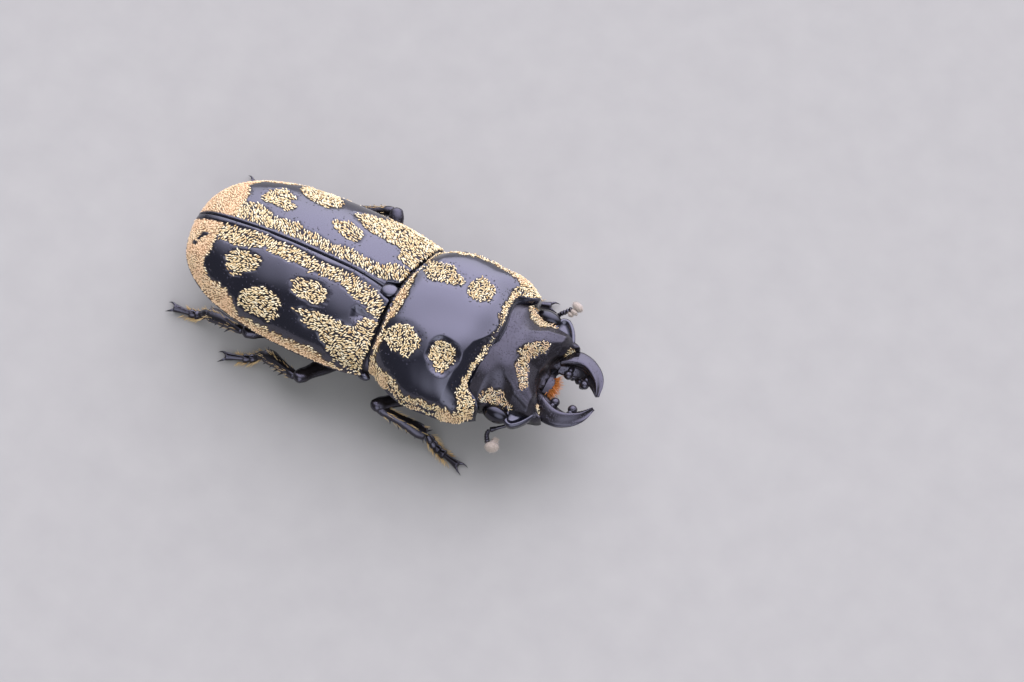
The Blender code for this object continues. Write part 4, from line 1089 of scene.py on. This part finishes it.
# Plans of the three long edges, and the heights of the top, the shelf and the underside along them
mandible = {
    "outer": ((7.3, 1.66), (7.55, 1.72), (7.85, 1.74),
              (8.35, 1.62), (8.86, 1.26), (9.14, 0.8), (9.24, 0.22)),
    "inner": ((7.15, 0.8), (7.45, 0.94), (7.85, 1.06),
              (8.2, 1.04), (8.52, 0.88), (8.84, 0.62), (9.1, 0.18)),
    "shelf": ((7.15, 0.58), (7.5, 0.64), (7.85, 0.76),
              (8.2, 0.78), (8.46, 0.66), (8.78, 0.44), (9.08, 0.16)),
    "top": (2.98, 3.04, 3.08, 3.08, 3.05, 3.0, 2.95), "ledge": (2.55, 2.52, 2.5, 2.52, 2.6, 2.72, 2.86),
    "under": (2.3, 2.28, 2.3, 2.36, 2.5, 2.66, 2.82), "stations": 70, "around": 56,
    "knobs": ((7.62, 0.66), (8.4, 0.56)), "knobZ": 2.6, "knobRadii": (0.2, 0.2, 0.17), "stalk": 0.32,
    "openRight": 0.1, "hinge": (7.5, 1.3),
}


def mandibleShapes(side):
    m = mandible
    outer, inner, shelf, top, ledge, under = (curveThrough(m[name], m["stations"]) for name in (
        "outer", "inner", "shelf", "top", "ledge", "under"))
    # Each cross-section is a smooth loop through nine corners, from the outer edge over the top
    corners = (
        (outer, mix(top, under, 0.35)),
        (mix(outer, inner, 0.4), top - 0.08),
        (mix(outer, inner, 0.82), top + 0.02),
        (inner, mix(top, ledge, 0.12)),
        (mix(inner, shelf, 0.3) + (outer - inner) * 0.12, mix(top, ledge, 0.6)),
        (mix(inner, shelf, 0.85), ledge + 0.03),
        (shelf, mix(ledge, under, 0.4)),
        (mix(shelf, outer, 0.25), under),
        (mix(shelf, outer, 0.75), under + 0.03),
    )
    loop = np.stack([np.concatenate([plan, z[:, None]], 1) for plan, z in corners], 1)
    rings = np.stack([curveThrough(np.concatenate([ring[-1:], ring, ring[:2]]), m["around"])
                      for ring in loop])
    overlap = m["around"] // (len(corners) + 2)
    shapes = [closedRings(rings[:, overlap:-overlap])]
    for x, y in m["knobs"]:
        shapes.append(ballAt((x, y, m["knobZ"]), m["knobRadii"], 28, 18))
        root = (x, y + m["stalk"], m["knobZ"] + 0.02)
        shapes.append(limb([root, (x, y + 0.05, m["knobZ"])], [0.3, 0.2], [0.3, 0.2], 16))
    # The right one stands a little more open
    turn = m["openRight"] if side < 0 else 0.0
    hingeX, hingeY = m["hinge"]
    turned = []
    for points, faces in shapes:
        dx, dy = points[:, 0] - hingeX, points[:, 1] - hingeY
        x = hingeX + dx * math.cos(turn) - dy * math.sin(turn)
        y = hingeY + dx * math.sin(turn) + dy * math.cos(turn)
        points = np.stack([x, y * side, points[:, 2]], 1)
        turned.append((points, facesOut(points.tolist(), faces)))
    return turned


for label, side in sides.items():
    points, faces = gather(mandibleShapes(side))
    newPiece(f"jaw_{label}", points, faces, jawChitin, [f"mandible_{label}"])


# Mouth: a lip pad with its amber fringe between the jaws, and jointed palps below


lip = {"x": 6.98, "length": 0.3, "halfWidth": 0.48, "z": 2.6, "thick": 0.42, "columns": 20, "rows": 30,
       "bristles": 130}


def lipSurface(u, v):
    across = 2 * v - 1
    x = lip["x"] + lip["length"] * u * (1 - 0.4 * across ** 2)
    return np.stack([x, lip["halfWidth"] * across, lip["z"] - 0.1 * u - 0.08 * across ** 2], -1)


def plainRelief(place, u, v):
    # No height, no marks and no crust
    return np.zeros(u.shape), np.full(u.shape, -1.0), np.zeros(u.shape)


lipSkin = skinOf(lipSurface, lip["columns"], lip["rows"], plainRelief, (7.1, 0, 2))
points, faces = plateFrom(lipSkin, lipSkin["place"] - np.array([0, 0, lip["thick"]]))
newPiece("lipPad", points, faces, bellyChitin, ["labrum"])

hairForm = sprig(((0.02, 1.0, 0.0), (0.35, 0.85, 0.12), (0.7, 0.55, 0.5), (0.92, 0.25, 0.85)), 4)
hairKinds = {
    "lip": {"length": 0.42, "width": 0.035, "curl": 0.1, "stray": 0.3, "material": amber,
            "slot": "amber_bristle"},
    "feeler": {"length": 0.07, "width": 0.016, "curl": 0.02, "stray": 0.3, "material": greyHair,
               "slot": "pubescent_club"},
    "leg": {"length": 0.3, "width": 0.026, "curl": 0.05, "stray": 0.12, "material": goldHair,
            "slot": "amber_bristle"},
}


def hairCoat(name, kind, roots, courses, normals, unwrap, seed):
    # Bristles on given roots, each with a length, a stray course and a curl of its own, paler at the tip
    draw = np.random.default_rng(seed)
    count = len(roots)
    courses = unit(courses) + draw.normal(0, kind["stray"], (count, 3))
    width = np.full(count, kind["width"])
    size = np.stack([kind["length"] * draw.uniform(0.65, 1.2, count), width, width,
                     kind["curl"] * draw.uniform(-1, 1, count)], 1)
    coat = {"root": roots, "along": courses, "normal": unit(normals), "size": size, "flat": 0.0,
            "tone": draw.uniform(0.0, 0.5, count), "toneRise": 0.5, "dust": np.zeros(count),
            "unwrap": np.clip(unwrap, 0.01, 0.99)}
    coatPiece(name, hairForm, coat, kind["material"])


draw = np.random.default_rng(61)
count = lip["bristles"]
across = draw.uniform(-1, 1, count)
lower = draw.uniform(0, 1, count)
roots = np.stack([lip["x"] + 0.24 - 0.1 * across ** 2, 0.36 * across - 0.06,
                  lip["z"] - 0.1 - 0.3 * lower], 1)
courses = np.stack([np.ones(count), 0.5 * across, 0.25 - 0.7 * lower], 1)
hairCoat("lipFringe", hairKinds["lip"], roots, courses, np.tile([0, 0, 1.0], (count, 1)),
         np.stack([across * 0.45 + 0.5, lower], 1), 62)

palp = {"route": ((7.5, 0.95, 2.05), (7.9, 1.05, 1.75), (8.25, 0.9, 1.55)), "joints": 3,
        "widths": (0.2, 0.34, 0.42, 0.3)}
for label, side in sides.items():
    ends = curveThrough(toSide(palp["route"], side), palp["joints"] + 1)
    profile = rounded(curveThrough(palp["widths"], 10))
    shapes = []
    for start, end in zip(ends, ends[1:]):
        route = softEnded(curveThrough([start, (start + end) / 2, end], 10), 0.05)
        shapes.append(limb(route, profile, profile, 16))
    points, faces = gather(shapes)
    newPiece(f"palpJoints_{label}", points, faces, limbChitin, [f"palp_{label}"])
print("mouth and jaws made")


# Feelers: a long first joint, a chain of beads and a club of three leaves


# The route of the first joint, the route of the beads, and each leaf's place and size
feelers = {
    "left": {"scape": ((6.45, 2.2, 2.15), (6.1, 2.62, 2.15), (5.95, 2.86, 2.25)),
             "chain": ((5.97, 2.9, 2.35), (6.05, 2.94, 2.6), (6.2, 2.99, 2.82), (6.36, 3.08, 2.94),
                       (6.5, 3.24, 3.0)),
             "leaves": (((6.53, 2.98, 2.98), 0.2), ((6.62, 3.13, 3.0), 0.28), ((6.66, 3.4, 3.02), 0.44))},
    "right": {"scape": ((6.4, 2.2, 2.1), (6.0, 2.5, 2.0), (5.78, 2.7, 1.98)),
              "chain": ((5.74, 2.76, 2.0), (5.73, 2.9, 2.04), (5.78, 3.05, 2.1), (5.87, 3.2, 2.15),
                        (5.98, 3.36, 2.18)),
              "leaves": (((6.2, 3.1, 2.2), 0.22), ((6.22, 3.26, 2.2), 0.3), ((6.22, 3.46, 2.2), 0.5))},
}
feelerSizes = {"scape": (0.15, 0.14, 0.15, 0.2, 0.22), "beads": 6, "bead": 0.09, "beadGrowth": 0.006,
               "leafRadii": (0.5, 0.4, 0.58), "hairs": 260}
for label, side in sides.items():
    plan = feelers[label]
    scape = curveThrough(toSide(plan["scape"], side), 24)
    sizes = rounded(curveThrough(feelerSizes["scape"], 24))
    shapes = [limb(softEnded(scape, 0.05), sizes, sizes, 14)]
    chain = curveThrough(toSide(plan["chain"], side), feelerSizes["beads"] + 1)
    for bead, (start, end) in enumerate(zip(chain, chain[1:])):
        radius = feelerSizes["bead"] + feelerSizes["beadGrowth"] * bead
        radii = (radius, radius, np.linalg.norm(end - start) * 0.62)
        shapes.append(ballAt((start + end) / 2, radii, 14, 9, turnTo(end - start)))
    points, faces = gather(shapes)
    newPiece(f"feelerStalk_{label}", points, faces, limbChitin)
    centres = toSide([place for place, _ in plan["leaves"]], side)
    fanned = turnTo((0.9, -0.35 * side, 0.1))
    points, faces = gather([ballAt(centre, np.array(feelerSizes["leafRadii"]) * size, 24, 16, fanned)
                            for centre, (_, size) in zip(centres, plan["leaves"])])
    newPiece(f"feelerClub_{label}", points, faces, down, [f"antenna_{label}"])
    draw = np.random.default_rng(70 + side)
    count = feelerSizes["hairs"]
    picks = draw.integers(0, len(points), count)
    nearest = np.argmin(np.linalg.norm(points[picks][:, None] - centres, axis=2), axis=1)
    outward = unit(points[picks] - centres[nearest])
    hairCoat(f"feelerDown_{label}", hairKinds["feeler"], points[picks] - outward * 0.01,
             outward + np.array([0.6, 0, 0]), outward,
             np.stack([picks / len(points), draw.random(count)], 1), 72 + side)
print("feelers made")


# Legs: thigh, shin with a comb of spines, and a five-jointed foot with two claws


leg = {"femurWidth": 0.82, "femurDepth": 0.62, "tibiaWidth": 0.56, "tarsusWidth": 0.4, "kneeReach": 0.3,
       "spines": 5, "spineLength": 0.44, "spineWidth": 0.17, "spurLength": 0.52, "spurWidth": 0.15,
       "clawWidth": 0.13, "clawZ": 0.05, "footCuts": (0, 11, 21, 31, 40, 60), "hairs": 90, "hairRows": 5}
# Places of each hip, knee, ankle and toe, with y measured outwards
legPoses = {
    "front_left": ((3.1, 1.25, 1.06), (1.1, 3.95, 1.86), (3.35, 3.75, 0.78), (5.0, 4.2, 0.19)),
    "front_right": ((3.1, 1.25, 1.06), (1.02, 3.85, 1.86), (3.3, 3.6, 0.78), (4.9, 4.0, 0.19)),
    "middle_left": ((-1.1, 1.7, 1.06), (-2.35, 4.5, 1.92), (-4.35, 4.0, 0.8), (-6.0, 4.4, 0.19)),
    "middle_right": ((-1.1, 1.7, 1.06), (-2.4, 4.15, 1.86), (-4.4, 3.35, 0.8), (-5.95, 3.95, 0.19)),
    "hind_left": ((-2.6, 1.2, 1.04), (-5.3, 3.5, 1.72), (-7.35, 3.35, 0.78), (-8.95, 3.7, 0.19)),
    "hind_right": ((-2.6, 1.2, 1.04), (-5.35, 3.2, 1.68), (-7.4, 2.75, 0.78), (-8.95, 2.95, 0.19)),
}


def legPlaces(name):
    side = sides[name.split("_")[1]]
    return toSide(legPoses[name], side)


def femurShape(hip, knee):
    bend = (hip + knee) / 2 - np.array([0, 0, 0.06])
    route = softEnded(curveThrough([hip, bend, knee], 40), 0.14)
    profile = curveThrough([0.5, 0.78, 0.92, 1.0, 1.02, 1.0, 0.96, 0.88, 0.78, 0.74, 0.8, 0.66], 40)
    return limb(route, rounded(profile * leg["femurWidth"]), rounded(profile * leg["femurDepth"]), 24)


def tibiaRoute(knee, ankle):
    axis = unit(ankle - knee)
    return knee + axis * (leg["kneeReach"] - 0.12), ankle - axis * 0.12, axis


def tibiaShapes(knee, ankle, draw):
    # A shin that widens to its end, with a comb of spines outside and two spurs at the ankle
    near, far, axis = tibiaRoute(knee, ankle)
    route = curveThrough([near, (near + far) / 2 + np.array([0, 0, 0.03]), far], 36)
    profile = curveThrough([0.62, 0.8, 0.78, 0.8, 0.86, 0.94, 1.04, 1.16, 1.22, 1.05], 36)
    widths, depths = profile * leg["tibiaWidth"], np.minimum(profile, 0.9) * leg["tibiaWidth"] * 0.9
    shapes = [limb(softEnded(route, 0.08), rounded(widths), rounded(depths), 20)]
    outward = np.array([0, math.copysign(1.0, knee[1]), 0])
    outward = unit(outward - axis * (outward * axis).sum())
    for index in range(leg["spines"]):
        root = mix(near, far, 0.22 + 0.7 * index / (leg["spines"] - 1))
        length = leg["spineLength"] + 0.1 * draw.random()
        lean = unit(outward + 0.7 * axis + np.array([0, 0, 0.1 * draw.uniform(-1, 1)]))
        shapes.append(thorn(root, root + lean * length, leg["spineWidth"], axis * 0.03))
    for turn in (-1, 1):
        root = far - axis * 0.15
        tip = root + unit(axis + 0.8 * turn * outward) * leg["spurLength"]
        tip[2] = max(tip[2], 0.22)
        shapes.append(thorn(root, tip, leg["spurWidth"]))
    return shapes


def tarsusShapes(ankle, toe):
    # Five joints that come down to the floor and run along it, and two claws
    axis = unit(toe - ankle)
    heel = ankle + axis * 0.02
    landing = mix(ankle, toe, 0.34)
    landing[2] = toe[2]
    cuts = leg["footCuts"]
    route = curveThrough([heel, landing, toe], cuts[-1] + 1)
    shapes = []
    for joint, (start, end) in enumerate(zip(cuts, cuts[1:])):
        piece = route[start:end + 2]
        shape = [0.5, 0.75, 0.95, 1.0] if joint < 4 else [0.5, 0.6, 0.75, 0.95]
        profile = curveThrough(shape, len(piece)) * leg["tarsusWidth"]
        shapes.append(limb(softEnded(piece, 0.05), rounded(profile), rounded(profile * 0.92), 16, 0.0))
    course = unit(toe - landing)
    across = unit(np.cross(course, np.array([0, 0, 1.0])))
    for turn in (-1, 1):
        root = toe - course * 0.05 + across * 0.07 * turn
        tip = toe + course * 0.36 + across * 0.22 * turn
        tip[2] = leg["clawZ"]
        shapes.append(thorn(root, tip, leg["clawWidth"], np.array([0, 0, 0.07]) + across * 0.05 * turn))
    return shapes, route


def legBristles(name, footRoute):
    # Golden bristles in rows down the shin, and a fringe on both sides of the foot
    hip, knee, ankle, toe = legPlaces(name)
    near, far, axis = tibiaRoute(knee, ankle)
    draw = np.random.default_rng(len(name) * 7 + int(abs(hip[0]) * 10) + (hip[1] > 0))
    count, rows = leg["hairs"], leg["hairRows"]
    share = draw.uniform(0.08, 0.98, count)
    row = draw.integers(0, rows, count) * 2 * math.pi / rows + draw.normal(0, 0.12, count)
    outward = unit(np.cross(axis, np.array([0, 0, 1.0])))
    rising = unit(np.cross(outward, axis))
    normal = outward * np.cos(row)[:, None] + rising * np.sin(row)[:, None]
    radius = leg["tibiaWidth"] * mix(0.36, 0.5, share)
    shinRoots = mix(near, far, share[:, None]) + normal * (radius * 0.9)[:, None]
    footShare = draw.uniform(0.05, 0.8, count)
    footPlace = footRoute[(footShare * leg["footCuts"][-1]).astype(int)]
    footAxis = unit(toe - ankle)
    footSide = unit(np.cross(footAxis, np.array([0, 0, 1.0]))) * np.sign(draw.uniform(-1, 1, count))[:, None]
    footRoots = footPlace + footSide * leg["tarsusWidth"] * 0.38
    footRoots[:, 2] = np.maximum(footRoots[:, 2] - 0.06, 0.04)
    roots, normals = np.concatenate([shinRoots, footRoots]), np.concatenate([normal, footSide])
    courses = np.concatenate([np.tile(axis, (count, 1)) + normal * 0.35, footAxis + footSide * 0.8])
    unwrap = np.stack([np.concatenate([share * 0.5, 0.5 + footShare * 0.5]), np.tile(row / 7, 2)], 1)
    hairCoat(f"legBristles_{name}", hairKinds["leg"], roots, courses, normals, unwrap, 80 + len(name))


spineDraw = random.Random(7)
for name in legPoses:
    hip, knee, ankle, toe = legPlaces(name)
    points, faces = femurShape(hip, knee)
    newPiece(f"thigh_{name}", points, faces, limbChitin, [f"femur_{name}"])
    points, faces = gather(tibiaShapes(knee, ankle, spineDraw))
    newPiece(f"shin_{name}", points, faces, limbChitin, [f"tibia_{name}"])
    shapes, footRoute = tarsusShapes(ankle, toe)
    points, faces = gather(shapes)
    newPiece(f"foot_{name}", points, faces, limbChitin, [f"tarsus_{name}"])
    legBristles(name, footRoute)
print("legs made")


# Trunk: the underside of the three body rings and the belly plates


trunk = {"around": 72, "roundness": 2.2, "inset": 0.62, "breastZ": 1.5, "bellyZ": 1.6, "bellyTip": -8.5,
         "thoraxFrontX": 0.25, "thoraxRearX": -3.0, "plates": 5, "seam": 0.04}
foreBreast = {"rearX": 0.25, "frontX": 4.95, "topZ": 2.75, "middleZ": 2.5, "endZ": 2.3, "keel": 0.08,
              "endWidth": 2.4, "halfWidth": 3.1}
waist = {"rearX": -0.9, "frontX": 1.1, "middleZ": 2.7, "up": 1.1, "down": 0.75, "halfWidth": 3.1}


def trunkRing(x, halfWidth, middleZ, up, down, keel=0.0, keelWidth=0.1):
    # An oval with a reach of its own up and down, and a line along the middle of its underside
    turn = 2 * math.pi * np.arange(trunk["around"]) / trunk["around"]
    across, lift = arch(turn, trunk["roundness"])
    line = keel * hill(across, 0.0, keelWidth) * (lift < 0)
    z = middleZ + np.where(lift > 0, up, down) * lift + line
    return np.stack([np.full(across.shape, x), halfWidth * across, z], -1)


def trunkRings(stations, bellyZ, grooves):
    # These stay inside the wing cases above and curve into the belly below
    e = elytra
    inset = trunk["inset"]
    length = e["widestX"] - e["tailX"] - e["tailInset"] * inset
    rings = []
    for x, groove in zip(stations, grooves):
        share = np.clip((e["widestX"] - x) / length, 0, 0.9995) ** (1 / e["tailSpacing"])
        closing = math.sqrt(max(1 - share * share, 0.0005))
        taper = closing ** e["sideFall"]
        middleZ = mix(e["edgeZ"], e["apexZ"], float(smooth(e["apexFrom"], 1.0, share)))
        front = float(smooth(-1.2, 0.25, x))
        halfWidth = (e["halfWidth"] - inset) * taper * (1 - 0.4 * front)
        rise = (e["topZ"] - e["edgeZ"] - inset) * closing ** e["backFall"] * (1 - 0.35 * front)
        depth = (middleZ - bellyZ) * taper ** 0.8 - groove
        rings.append(trunkRing(x, halfWidth - groove, middleZ, rise, depth, trunk["seam"]))
    return np.array(rings)


stations = np.linspace(trunk["thoraxFrontX"], trunk["thoraxRearX"], 46)
grooves = 0.05 * hill(stations, -1.75, 0.14)
points, faces = closedRings(trunkRings(stations, trunk["breastZ"], grooves))
newPiece("breast", points, faces, bellyChitin, ["thorax"])
share = np.linspace(0, 1, 90)
stations = mix(trunk["bellyTip"], trunk["thoraxRearX"] - 0.02, (1 - share) ** 1.1)
grooves = 0.1 * hill((share * trunk["plates"]) % 1.0, 0.0, 0.16)
points, faces = closedRings(trunkRings(stations, trunk["bellyZ"], grooves))
newPiece("belly", points, faces, bellyChitin, ["abdomen"])
f, rings = foreBreast, []
for share in np.linspace(0, 1, 40):
    swell = math.sin(math.pi * (0.08 + 0.84 * share)) ** 0.4
    bottomZ = mix(f["endZ"], trunk["breastZ"], swell)
    rings.append(trunkRing(mix(f["rearX"], f["frontX"], share), mix(f["endWidth"], f["halfWidth"], swell),
                           f["middleZ"], f["topZ"] - f["middleZ"], f["middleZ"] - bottomZ, -f["keel"], 0.16))
points, faces = closedRings(np.array(rings))
newPiece("foreBreast", points, faces, bellyChitin, ["prosternum"])
# The waist fills the gap between the shield and the wing cases
w, rings = waist, []
for share in np.linspace(0, 1, 24):
    swell = math.sin(math.pi * (0.06 + 0.88 * share)) ** 0.3
    rings.append(trunkRing(mix(w["rearX"], w["frontX"], share), w["halfWidth"] * swell, w["middleZ"],
                           w["up"] * swell, w["down"] * swell))
points, faces = closedRings(np.array(rings))
newPiece("waist", points, faces, bellyChitin)
# A ball at each hip
coxa = {"radii": (0.36, 0.4, 0.68), "in": 0.25, "up": 0.32}
shapes = []
for name in legPoses:
    hip, knee = legPlaces(name)[:2]
    side = sides[name.split("_")[1]]
    lean = unit(np.array([hip[0] - knee[0], -1.6 * side, 0.4]))
    centre = hip + np.array([0, -coxa["in"] * side, coxa["up"]])
    shapes.append(ballAt(centre, coxa["radii"], 24, 16, turnTo(lean)))
points, faces = gather(shapes)
newPiece("hipJoints", points, faces, limbChitin)
print("trunk made")


# Floor, camera and light


def mattPaper():
    # Uncoated paper: even and dull, with a grain that hardly shows
    look = {"fibre": "#8d8b87", "pale": "#96948f", "grainSize": 1.5}
    material, shader = newMaterial("matt_paper", {"Roughness": 0.9, "IOR": 1.45})
    place = addNode(material, "TexCoord").outputs["Object"]
    grain = addNode(material, "TexNoise", {
        "Scale": perSize(look["grainSize"]), "Detail": 3.0}, {"Vector": place})
    colour = addNode(material, "Mix", {
        "data_type": "RGBA", 6: linear(look["fibre"]), 7: linear(look["pale"])}, {0: grain.outputs["Fac"]})
    joinTo(material, shader, {"Base Color": colour.outputs[2]})
    return material


floorHalf = 900
floorMesh = bpy.data.meshes.new("floor")
corners = [(x * floorHalf * mm, y * floorHalf * mm, 0) for x, y in ((-1, -1), (1, -1), (1, 1), (-1, 1))]
floorMesh.from_pydata(corners, [], [(0, 1, 2, 3)])
floorMesh.materials.append(mattPaper())
floor = bpy.data.objects.new("floor", floorMesh)
bpy.context.scene.collection.objects.link(floor)

# The camera stands high over the beetle's right side, a little ahead of it, and looks down at about 64
# degrees; its turn is an axis whose length is the angle, and its shift is where the beetle lies before it
view = {"lens": 150, "sensor": 36, "turn": (-0.4449, -0.1188, -0.4638), "shift": (-4.663, -0.009, -177.236),
        "forward": 0.1, "clip": 1}
turnVector = Vector(view["turn"])
turn = Matrix.Rotation(turnVector.length, 3, turnVector.normalized())
eyePoint = Vector((view["forward"], 0, 0)) - turn.transposed() @ Vector(view["shift"])
cameraData = bpy.data.cameras.new("camera")
cameraData.lens = view["lens"]
cameraData.sensor_width = view["sensor"]
cameraData.clip_start = view["clip"] * mm
camera = bpy.data.objects.new("camera", cameraData)
camera.matrix_world = Matrix.Translation(eyePoint * mm) @ turn.transposed().to_4x4()
bpy.context.scene.collection.objects.link(camera)
bpy.context.scene.camera = camera

# A dim studio with one broad soft light, half way up on the beetle's left: the plates that face it carry a
# lilac sheet, and the flank turned away stays black. A dim one ahead on the right lights the scales there.
# Each patch has a direction, the cosines from it where it is gone and full, and its power
light = {"room": "#b9bcc4", "roomStrength": 0.4, "sheet": "#eceafa",
         "patches": (((-0.09, 0.72, 0.69), 0.28, 1.05, 5.2), ((0.4, -0.66, 0.63), 0.76, 1.0, 5.0))}
world = bpy.data.worlds.new("studio")
bpy.context.scene.world = world
world.use_nodes = True
direction = addNode(world, "TexCoord").outputs["Generated"]
strength = addNode(world, "Math", {0: light["roomStrength"], 1: 0.0})
shares = []
for towards, gone, full, power in light["patches"]:
    facing = addNode(world, "VectorMath", {"operation": "DOT_PRODUCT", 1: towards}, {0: direction})
    shares.append(addNode(world, "MapRange", {
        "From Min": gone, "From Max": full, "interpolation_type": "SMOOTHSTEP"},
        {"Value": facing.outputs["Value"]}))
    strength = addNode(world, "Math", {"operation": "MULTIPLY_ADD", 1: power},
                       {0: shares[-1].outputs["Result"], 2: strength.outputs[0]})
colour = addNode(world, "Mix", {"data_type": "RGBA", 6: linear(light["room"]), 7: linear(light["sheet"])},
                 {0: shares[0].outputs["Result"]})
backdrop = world.node_tree.nodes["Background"]
world.node_tree.links.new(colour.outputs[2], backdrop.inputs["Color"])
world.node_tree.links.new(strength.outputs[0], backdrop.inputs["Strength"])
bpy.context.scene.view_settings.view_transform = "Standard"
print("camera and light set")
